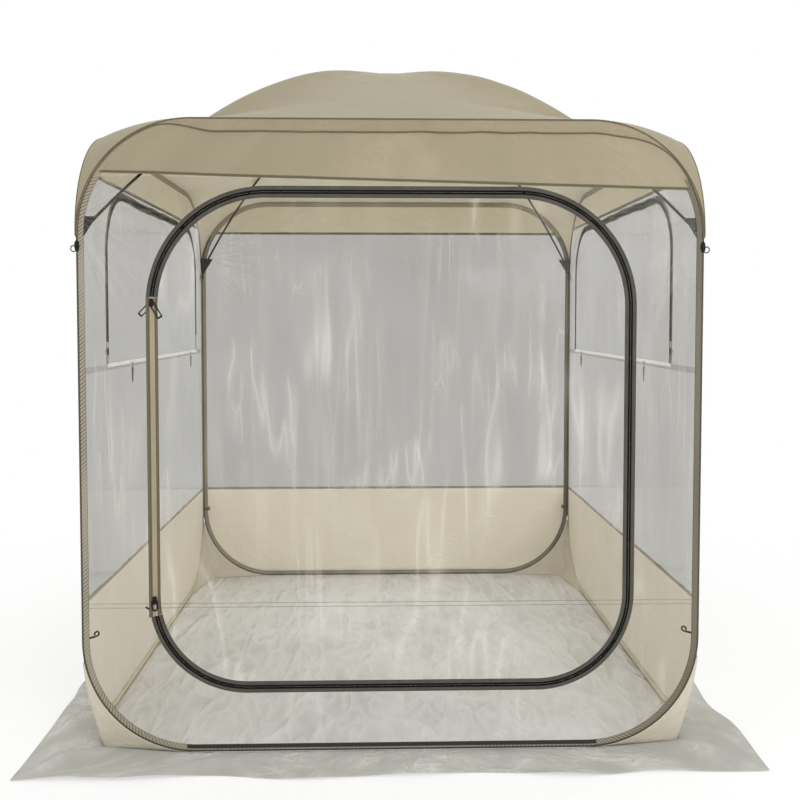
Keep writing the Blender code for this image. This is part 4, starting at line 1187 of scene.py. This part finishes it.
def makeHardware():
    for end in ("upper", "lower"):
        softened(end + "Slider", end + "_slider", end + "_slider", blackPlastic, 0.00022, "black_plastic")
        for side in ("outer", "inner"):
            node = f"{end}_{side}_pull"
            softened(end + side.capitalize() + "Pull", node, node, blackPlastic, 0.00035, "black_plastic")
    for wall in ("left", "right"):
        node = wall + "_window_slider"
        softened(wall + "WindowSlider", node, node, blackPlastic, 0.00022, "black_plastic")
        for spot in ("front", "back"):
            node = f"{wall}_toggle_{spot}"
            softened(f"{wall}Toggle{spot.capitalize()}", node, node, blackPlastic, 0.0005, "black_plastic",
                     50)
    for corner in corners:
        softened("cornerHook_" + corner, "corner_hook_" + corner, "tent", blackPlastic, 0.00025,
                 "black_plastic", 60, fuller=hardwareMake["hookFuller"])
        pocket = softened("polePocket_" + corner, "pole_pocket_" + corner, "tent", cloth["blackWebbing"],
                          0.0012, "black_webbing", 50)
        low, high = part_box("pole_pocket_" + corner)
        outerX, outerY = (max(low[0], high[0], key=abs), max(low[1], high[1], key=abs))
        for vert in pocket.data.vertices:
            # the webbing pouch narrows to a tip against the post
            tip = hardwareMake["tip"]
            narrow = tip + (1 - tip) * (vert.co.z - low[2]) / (high[2] - low[2])
            vert.co.x = outerX + (vert.co.x - outerX) * narrow
            vert.co.y = outerY + (vert.co.y - outerY) * narrow
    softened("doorHinge", "door_hinge_strip", "door", hingeBinding, 0.0002, "hinge_cloth")
    for wall in turns:
        node = bpy.data.objects[wall + "_hoop"]
        node.data.materials.clear()
        node.data.materials.append(springSteel)


def makeGuyLoops():
    # a small grey loop and a knot on each post's outer corner, where a line can be tied
    make = hardwareMake
    for corner, (sideX, sideY) in corners.items():
        shape = bmesh.new()
        bmesh.ops.create_circle(shape, segments=10, radius=make["loopTube"], cap_ends=False)
        bmesh.ops.scale(shape, vec=(0.9, 1.7, 1), verts=shape.verts)
        bmesh.ops.rotate(shape, cent=(0, 0, 0), matrix=Matrix.Rotation(math.pi / 2, 3, "X"),
                         verts=shape.verts)
        bmesh.ops.translate(shape, vec=(make["loopRadius"], 0, 0), verts=shape.verts)
        bmesh.ops.spin(shape, geom=shape.edges[:] + shape.verts[:], cent=(0, 0, 0), axis=(0, 1, 0),
                       angle=2 * math.pi, steps=28, use_merge=True)
        bmesh.ops.remove_doubles(shape, verts=shape.verts, dist=0.00001)
        bmesh.ops.rotate(shape, cent=(0, 0, 0), matrix=Matrix.Rotation(math.atan2(sideY, sideX), 3, "Z"),
                         verts=shape.verts)
        away = tent["frontHalf"] + make["loopOut"]
        bmesh.ops.translate(shape, vec=(sideX * away, sideY * away, make["loopUp"]), verts=shape.verts)
        bmesh.ops.recalc_face_normals(shape, faces=shape.faces)
        finishPiece("guyLoop_" + corner, shape, greyPlastic, "tent", slot="black_webbing")
        knot = bmesh.new()
        bmesh.ops.create_icosphere(knot, subdivisions=3, radius=1.0)
        for vert in knot.verts:
            lump = 1 + 0.22 * wave(*vert.co, scale=2.1, seed=3.3)
            vert.co = Vector(make["knot"]) * vert.co * lump
        away = tent["frontHalf"] - make["knotIn"]
        bmesh.ops.translate(knot, vec=(sideX * away, sideY * away, make["knotUp"]), verts=knot.verts)
        bmesh.ops.recalc_face_normals(knot, faces=knot.faces)
        finishPiece("guyKnot_" + corner, knot, cloth["blackWebbing"], "tent", slot="black_webbing")


makeHardware()
makeGuyLoops()
print("clear tent: small hardware made")


# roof rods
rodMake = {"radius": 0.00425, "crown": 2.180, "drop": 0.670, "reach": 1.2549, "under": 0.0090,
           "ferrule": 1.16, "ferruleHalf": 0.028, "ferrules": (0.42, 0.86)}


def rodHeight(along, lowered=0):
    make = rodMake
    return make["crown"] - lowered - (make["drop"] - lowered) * (along / make["reach"]) ** 2


def makeRods():
    make = rodMake
    for name, side, lowered in (("a", 1, 0), ("b", -1, make["under"])):
        def place(s, t):
            along = make["reach"] * (2 * s - 1)
            slope = -2 * (make["drop"] - lowered) * along / make["reach"] ** 2
            tangent = Vector((1, side, slope * math.sqrt(2))).normalized()
            across = Vector((1, -side, 0)).normalized()
            upward = across.cross(tangent)
            upward *= 1 if upward.z > 0 else -1
            angle = 2 * math.pi * t
            flat = along / math.sqrt(2)
            off = min(abs(abs(along) - spot) for spot in make["ferrules"])
            radius = make["radius"] * (make["ferrule"] if off < make["ferruleHalf"] else 1.0)
            centre = Vector((flat, side * flat, rodHeight(along, lowered)))
            return centre + (across * math.cos(angle) + upward * math.sin(angle)) * radius

        shape = mapped(220, 14, place, (2 * make["reach"], 0.03), weld=True)
        ends = [edge for edge in shape.edges if edge.is_boundary]
        bmesh.ops.holes_fill(shape, edges=ends, sides=0)
        bmesh.ops.recalc_face_normals(shape, faces=shape.faces)
        finishPiece("roofRod_" + name, shape, rodFibre, "tent", nodes=["roof_pole_" + name], slot="rod_fibre")


makeRods()
print("clear tent: roof rods made")


# roof
roofMake = {"edge": 0.9003, "radius": 0.3303, "arcTop": 1.5013, "cover": 0.012, "apron": 0.037,
            "bendApron": 0.004, "taperFrom": 0.50, "taperTo": 0.69, "rightFurther": 0.13, "power": 1.8,
            "belly": 0.15, "slump": 0.6, "crownLift": 0.009, "crownReach": 0.120, "crownRound": 0.45,
            "fold": 0.003, "columns": 132, "flatShare": 6 / 14, "rim": 0.30, "over": 0.0006,
            "apronOut": 0.0029, "cordOut": 0.0031}


def hoopSkin(x, y):
    make = roofMake
    reach = abs(x) + abs(y) - (2 * make["edge"] - make["radius"])
    bend = min(max(reach / make["radius"], 0), 1)
    return make["arcTop"] + make["radius"] * math.sqrt(1 - bend * bend)


def roofHeight(x, y):
    make = roofMake
    far, near = max(abs(x), abs(y)), min(abs(x), abs(y))
    share = far / make["edge"]
    level = make["arcTop"] + make["radius"]
    rise = rodMake["crown"] + make["cover"] - level
    slump = 1 - make["slump"] * (near / make["edge"]) ** 2 * share**2
    middle = rise * (1 - share) * (1 + make["belly"] * share) * slump
    bend = hoopSkin(far, far)
    onRod = rodHeight(math.sqrt(2) * far) + make["cover"] - bend
    corner = max(rise * max(1 - share, 0) ** make["power"], onRod)
    if far == 0:
        return level + corner + make["crownLift"]
    crown = make["crownLift"] * max(1 - far / make["crownReach"], 0) ** 2
    ridge = max((near / far) ** 2, 1 - far / make["crownRound"])
    return hoopSkin(x, y) + middle + (corner - middle) * ridge + crown


def roofLine(share):
    # spacing of the grid: even over the flat top, closer round the hoops' bends
    make = roofMake
    flat = make["flatShare"]
    size, sign = abs(share), math.copysign(1, share)
    if size <= flat:
        return sign * (make["edge"] - make["radius"]) * size / flat
    bend = math.pi / 2 * (size - flat) / (1 - flat)
    return sign * (make["edge"] - make["radius"] + make["radius"] * math.sin(bend))


def makeRoof():
    make = roofMake

    def place(s, t):
        x, y = roofLine(2 * s - 1), roofLine(2 * t - 1)
        far = max(abs(x), abs(y))
        rim = min((make["edge"] - far) / make["rim"], 1)
        ripple = wave(x, y, scale=2.6, seed=1.3) + 0.4 * wave(x, y, scale=8.0, seed=4.4)
        lift = make["fold"] * max(ripple, 0) * max(rim, 0) * 1.6
        return Vector((x, y, roofHeight(x, y) + make["over"] + lift))

    shape = mapped(make["columns"], make["columns"], place, (2.2, 2.2))
    for face in list(shape.faces):
        spot = face.calc_center_median()
        if abs(abs(spot.x) - abs(spot.y)) < 0.03:
            ends = sorted(face.verts, key=lambda vert: abs(vert.co.x) + abs(vert.co.y))
            bmesh.utils.face_split(face, ends[0], ends[-1])
    shape.normal_update()
    piece = finishPiece("roofCloth", faceOut(shape), cloth["roofCloth"], "tent", nodes=["roof_canopy"],
                        slot="roof_cloth")
    declare(piece)
    # the inner face gets the lighter cloth: painted light
    thicken(piece, 0.0007, 1, inner=cloth["innerLitCloth"])

    # the turned-down edge over the sleeves, with piping along its lower edge
    quarter = math.pi / 2
    radius = make["radius"]
    flat = make["edge"] - radius
    length = 2 * flat + 2 * radius * quarter

    def edgePoint(s):
        distance = s * length
        if distance < radius * quarter:
            angle = math.pi - distance / radius
            return -flat + radius * math.cos(angle), make["arcTop"] + radius * math.sin(angle)
        distance -= radius * quarter
        if distance < 2 * flat:
            return -flat + distance, make["arcTop"] + radius
        angle = quarter - (distance - 2 * flat) / radius
        return flat + radius * math.cos(angle), make["arcTop"] + radius * math.sin(angle)

    for number, wall in enumerate(turns):
        def hang(s):
            # down and inward from the hoop's line: full on top, drawn to a tip at the posts
            across, up = edgePoint(s)
            inward = max(abs(across) - flat, 0) / radius
            drop = math.sqrt(max(1 - inward * inward, 0))
            sway = 0.0030 * wave(s * 30, number, seed=6.0)
            taperTo = make["taperTo"] + (make["rightFurther"] if wall == "front" and across > 0 else 0)
            full = min(max((taperTo - abs(across)) / (make["taperTo"] - make["taperFrom"]), 0), 1)
            full = full * full * (3 - 2 * full)
            depth = make["bendApron"] + (make["apron"] - make["bendApron"] + sway) * full
            tip = max(1 - drop * 4, 0)
            return across, up, math.copysign(inward, across), drop + tip, depth

        def apron(s, t):
            across, up, side, drop, depth = hang(s)
            bulge = 0.0016 * max(wave(s * 24, t * 2, number, seed=9.0), 0)
            out = make["apronOut"] + bulge * math.sin(math.pi * t)
            return wallPoint(wall, across - depth * t * side, up - depth * t * drop, out)

        shape = faceOut(mapped(260, 8, apron, (length, make["apron"])))
        piece = finishPiece(wall + "Eave", shape, cloth["eaveCloth"], "tent", slot="roof_cloth")
        declare(piece, width=length)
        thicken(piece, 0.0007, 0)

        for label, rowShare, thick in (("Piping", 1.0, 0.0020), ("Ridge", 0.0, 0.0024)):
            def cordPoint(s, t):
                across, up, side, drop, depth = hang(s)
                angle = 2 * math.pi * t
                spot = depth * rowShare
                return wallPoint(wall, across - spot * side + thick * math.cos(angle) * side,
                                 up - spot * drop + thick * math.cos(angle) * max(drop, 0.2),
                                 make["cordOut"] + thick * 0.8 * math.sin(angle))

            shape = mapped(260, 8, cordPoint, (length, 0.012), weld=True)
            finishPiece(wall + "Eave" + label, shape, cloth["pipingCloth"], "tent", slot="sleeve_cloth")


makeRoof()
print("clear tent: roof made")


# gussets, floor and skirt
groundMake = {"inset": 0.045, "floorTop": 0.0010, "crease": 0.004, "skirtWidth": 0.150, "ripple": 0.020,
              "wander": 0.014, "cornerFold": 0.016, "foldShare": 0.018, "fray": 0.004, "fine": 0.014,
              "bendShare": 0.1667, "gap": 0.0003, "foldGap": 0.0011}
gussetMake = {"foot": 3.5, "top": 79, "gap": 0.0006, "lift": 0.0002, "thick": 0.0006}
floorMake = {"ridge": 0.0045, "swell": 0.003, "rim": 0.12, "pull": 1.1, "pullEase": 0.15789,
             "pullFrom": 0.57 / 0.9, "thick": 0.0009}


def makeGussets():
    sideArc, frontArc = tent["sideHalf"] - tent["radius"], tent["frontHalf"] - tent["radius"]
    reach, base = tent["radius"] + gussetMake["gap"], tent["low"]
    foot, top = math.radians(gussetMake["foot"]), math.radians(gussetMake["top"])
    for number, (corner, (sideX, sideY)) in enumerate(corners.items()):
        def place(s, t):
            bend = foot + (top - foot) * t
            out, down = reach * math.sin(bend), reach * math.cos(bend)
            level = max(base + tent["radius"] - down, base + gussetMake["lift"])
            shareUp = math.sin(math.pi / 2 * (level - base) / tent["radius"])
            fold = tent["frontHalf"] - groundMake["inset"] * (1 - shareUp)
            front, side = (frontArc + out, tent["plane"]), (tent["plane"], sideArc + out)
            if s < 0.5:
                share = s * 2
                x, y = front[0] + (fold - front[0]) * share, front[1] + (fold - front[1]) * share
            else:
                share = s * 2 - 1
                x, y = fold + (side[0] - fold) * share, fold + (side[1] - fold) * share
            rim = min(s, 1 - s) * 2
            crease = wave(s * 9, t * 1.2, number, seed=7.7) * groundMake["crease"] * rim * (1 - t)
            x, y = x - abs(crease), y - abs(crease)
            return Vector((sideX * x, sideY * y, level))

        shape = faceOut(mapped(36, 26, place, (0.5, 0.4)))
        piece = finishPiece("gusset_" + corner, shape, cloth["gussetCloth"], "tent",
                            nodes=["corner_gusset_" + corner], slot="band_cloth")
        declare(piece, width=0.5)
        thicken(piece, gussetMake["thick"], 0)


def makeFloor():
    make, edge = floorMake, tent["frontHalf"]

    def place(s, t):
        x, y = edge * (2 * s - 1), edge * (2 * t - 1)
        far, near = max(abs(x), abs(y)), min(abs(x), abs(y))
        across = near / far if far else 0
        pull = make["pull"] / (1 + make["pullEase"] * across) if across > make["pullFrom"] else 1.0
        rim = min((edge - far) / make["rim"], 1)
        ridge = 1 - abs(wave(x, y, scale=4.2, seed=2.0)) * 2.4
        soft = wave(x, y, scale=1.8, seed=6.0)
        lift = make["ridge"] * max(ridge, 0) ** 3 * (0.5 + soft) + make["swell"] * max(soft, 0)
        return Vector((x * pull, y * pull, groundMake["floorTop"] + max(lift, 0) * max(rim, 0)))

    shape = faceOut(mapped(170, 170, place, (1.8, 1.8)), centre=(0, 0, -1))
    piece = finishPiece("floorSheet", shape, floorCloth, "tent", nodes=["floor_sheet"], slot="floor_cloth")
    declare(piece, width=1.8, length=1.8)
    thicken(piece, make["thick"], -1)


def makeSkirt():
    make = groundMake
    half, start = tent["frontHalf"] + make["gap"], tent["frontHalf"] - tent["radius"]
    fold = tent["frontHalf"] - make["inset"] + make["foldGap"]
    outer = tent["frontHalf"] + make["skirtWidth"]
    bendShare = make["bendShare"]

    def side(share):
        # a point on one side's inner and outer edges
        if share < bendShare:
            part = share / bendShare
            near = (-fold + part * (fold - start), -fold + part * (fold - half))
        elif share > 1 - bendShare:
            part = (1 - share) / bendShare
            near = (fold - part * (fold - start), -fold + part * (fold - half))
        else:
            near = (-start + 2 * start * (share - bendShare) / (1 - 2 * bendShare), -half)
        return near, outer * (2 * share - 1)

    def place(s, t):
        quarterShare = (s * 4) % 1 if s < 1 else 0
        turn = int(s * 4) % 4
        near, farAcross = side(quarterShare)
        swing = 2 * math.pi * quarterShare
        row = turn % 2
        wander = make["wander"] * (math.sin(3 * swing + row) - math.sin(5 * swing + 2 * row) / 2)
        fray = make["fray"] * wave(quarterShare * 14, turn, seed=5.0)
        far = (farAcross, -outer - wander * math.sin(swing / 2) - fray * math.sin(swing / 2))
        x, y = near[0] + t * (far[0] - near[0]), near[1] + t * (far[1] - near[1])
        ripple = make["ripple"] * (1 + math.sin(4 * swing + 2 * turn) * math.cos(2 * swing + turn)) / 2
        lift = ripple * math.sin(math.pi / 2 * t) * (1 + math.cos(3 * swing + t * 4)) / 2
        edge = min(quarterShare, 1 - quarterShare) / make["foldShare"]
        lift += make["cornerFold"] * math.exp(-edge * edge) * math.sin(math.pi * t)
        fine = max(wave(quarterShare * 20, t * 1.6, turn, seed=12.0), 0)
        fine = make["fine"] * fine * math.sin(math.pi * t)
        cosine, sine = (1, 0, -1, 0)[turn], (0, 1, 0, -1)[turn]
        return Vector((x * cosine - y * sine, x * sine + y * cosine, make["gap"] + lift + fine))

    shape = mapped(640, 20, place, (7.8, 0.16))
    bmesh.ops.remove_doubles(shape, verts=shape.verts, dist=0.00002)
    piece = finishPiece("groundSkirt", faceOut(shape, centre=(0, 0, -1)), cloth["skirtCloth"], "tent",
                        nodes=["ground_skirt"], slot="skirt_cloth")
    declare(piece, width=7.8)
    thicken(piece, 0.0007, 1)


makeGussets()
makeFloor()
makeSkirt()
print("clear tent: ground pieces made")


# seam strips under the windows

def makeSeamStrips():
    window = windowLine
    reach = tent["sideHalf"] - tent["sleeveWidth"] - 0.006
    for wall in ("right", "left"):
        def place(s, t):
            across = reach * (2 * s - 1)
            angle = 2 * math.pi * t
            half = window["strip"] / 2
            pinch = 1 + 0.08 * wave(s * 24, 0, seed=3.0)
            upward = window["sill"] - half - half * 0.97 * math.cos(angle) * pinch
            return wallPoint(wall, across, min(upward, window["sill"] - zipMake["gap"]), stripOut(angle))

        shape = mapped(160, 12, place, (2 * reach, 0.04), weld=True)
        finishPiece(wall + "SeamStrip", shape, seamFilm, "tent", nodes=[wall + "_window_seam_strip"],
                    slot="seam_cloth")


makeSeamStrips()

# stage and light
stageMake = {"floorSize": 30, "floorColour": (0.94, 0.94, 0.94, 1), "worldStrength": 0.90, "nearWhite": 0.55,
             "fadeFrom": 1.25, "fadeTo": 2.9, "under": 0.0004}


def seenDirectly(tree):
    path = tree.nodes.new("ShaderNodeLightPath")
    return path, math1(tree, "MAXIMUM", path.outputs["Is Camera Ray"], path.outputs["Is Transmission Ray"])


def makeStage():
    shape = bmesh.new()
    bmesh.ops.create_grid(shape, x_segments=1, y_segments=1, size=stageMake["floorSize"])
    mesh = bpy.data.meshes.new("studioFloor")
    shape.to_mesh(mesh)
    shape.free()
    floor = addObject("studioFloor", mesh)
    floor.location.z = -stageMake["under"]
    material, tree, shader = newMaterial("studioFloor")
    shader.inputs["Base Color"].default_value = stageMake["floorColour"]
    shader.inputs["Roughness"].default_value = 0.9
    shader.inputs["Specular IOR Level"].default_value = 0.1
    white = tree.nodes.new("ShaderNodeEmission")
    white.inputs["Strength"].default_value = 1.0
    path, seen = seenDirectly(tree)
    blend = tree.nodes.new("ShaderNodeMixShader")
    away = addNode(tree, "ShaderNodeVectorMath", {"operation": "LENGTH"}, i0=coordinates(tree, "Object"))
    fade = eased(tree, away.outputs["Value"], stageMake["fadeFrom"], stageMake["fadeTo"],
                 To_Min=stageMake["nearWhite"])
    lift = times(tree, seen, fade)
    tree.links.new(lift, blend.inputs[0])
    tree.links.new(shader.outputs[0], blend.inputs[1])
    tree.links.new(white.outputs[0], blend.inputs[2])
    tree.links.new(blend.outputs[0], tree.nodes["Material Output"].inputs[0])
    mesh.materials.append(material)

    world = bpy.data.worlds.new("studioWorld")
    bpy.context.scene.world = world
    world.use_nodes = True
    tree = world.node_tree
    background = tree.nodes["Background"]
    background.inputs["Color"].default_value = (1, 1, 1, 1)
    path, seen = seenDirectly(tree)
    seen = math1(tree, "MAXIMUM", seen, path.outputs["Is Glossy Ray"])
    level = scaledAdd(tree, seen, 1 - stageMake["worldStrength"], stageMake["worldStrength"])
    tree.links.new(level, background.inputs["Strength"])


lampMake = {
    "key": {"place": (1.9, -4.6, 2.7), "size": 2.6, "power": 75},
    "fill": {"place": (-4.2, -1.6, 3.0), "size": 3.0, "power": 22},
    "top": {"place": (0.8, 2.6, 4.6), "size": 3.6, "power": 30},
}


def makeLamps():
    for name, make in lampMake.items():
        data = bpy.data.lights.new(name, "AREA")
        data.shape = "DISK"
        data.size = make["size"]
        data.energy = make["power"]
        lamp = addObject(name, data)
        lamp.location = make["place"]
        aim = Vector((0, 0, 1.0)) - Vector(make["place"])
        lamp.rotation_euler = aim.to_track_quat("-Z", "Y").to_euler()


makeStage()
makeLamps()
bpy.context.scene.view_settings.view_transform = "Standard"
print("clear tent: stage and lamps made")
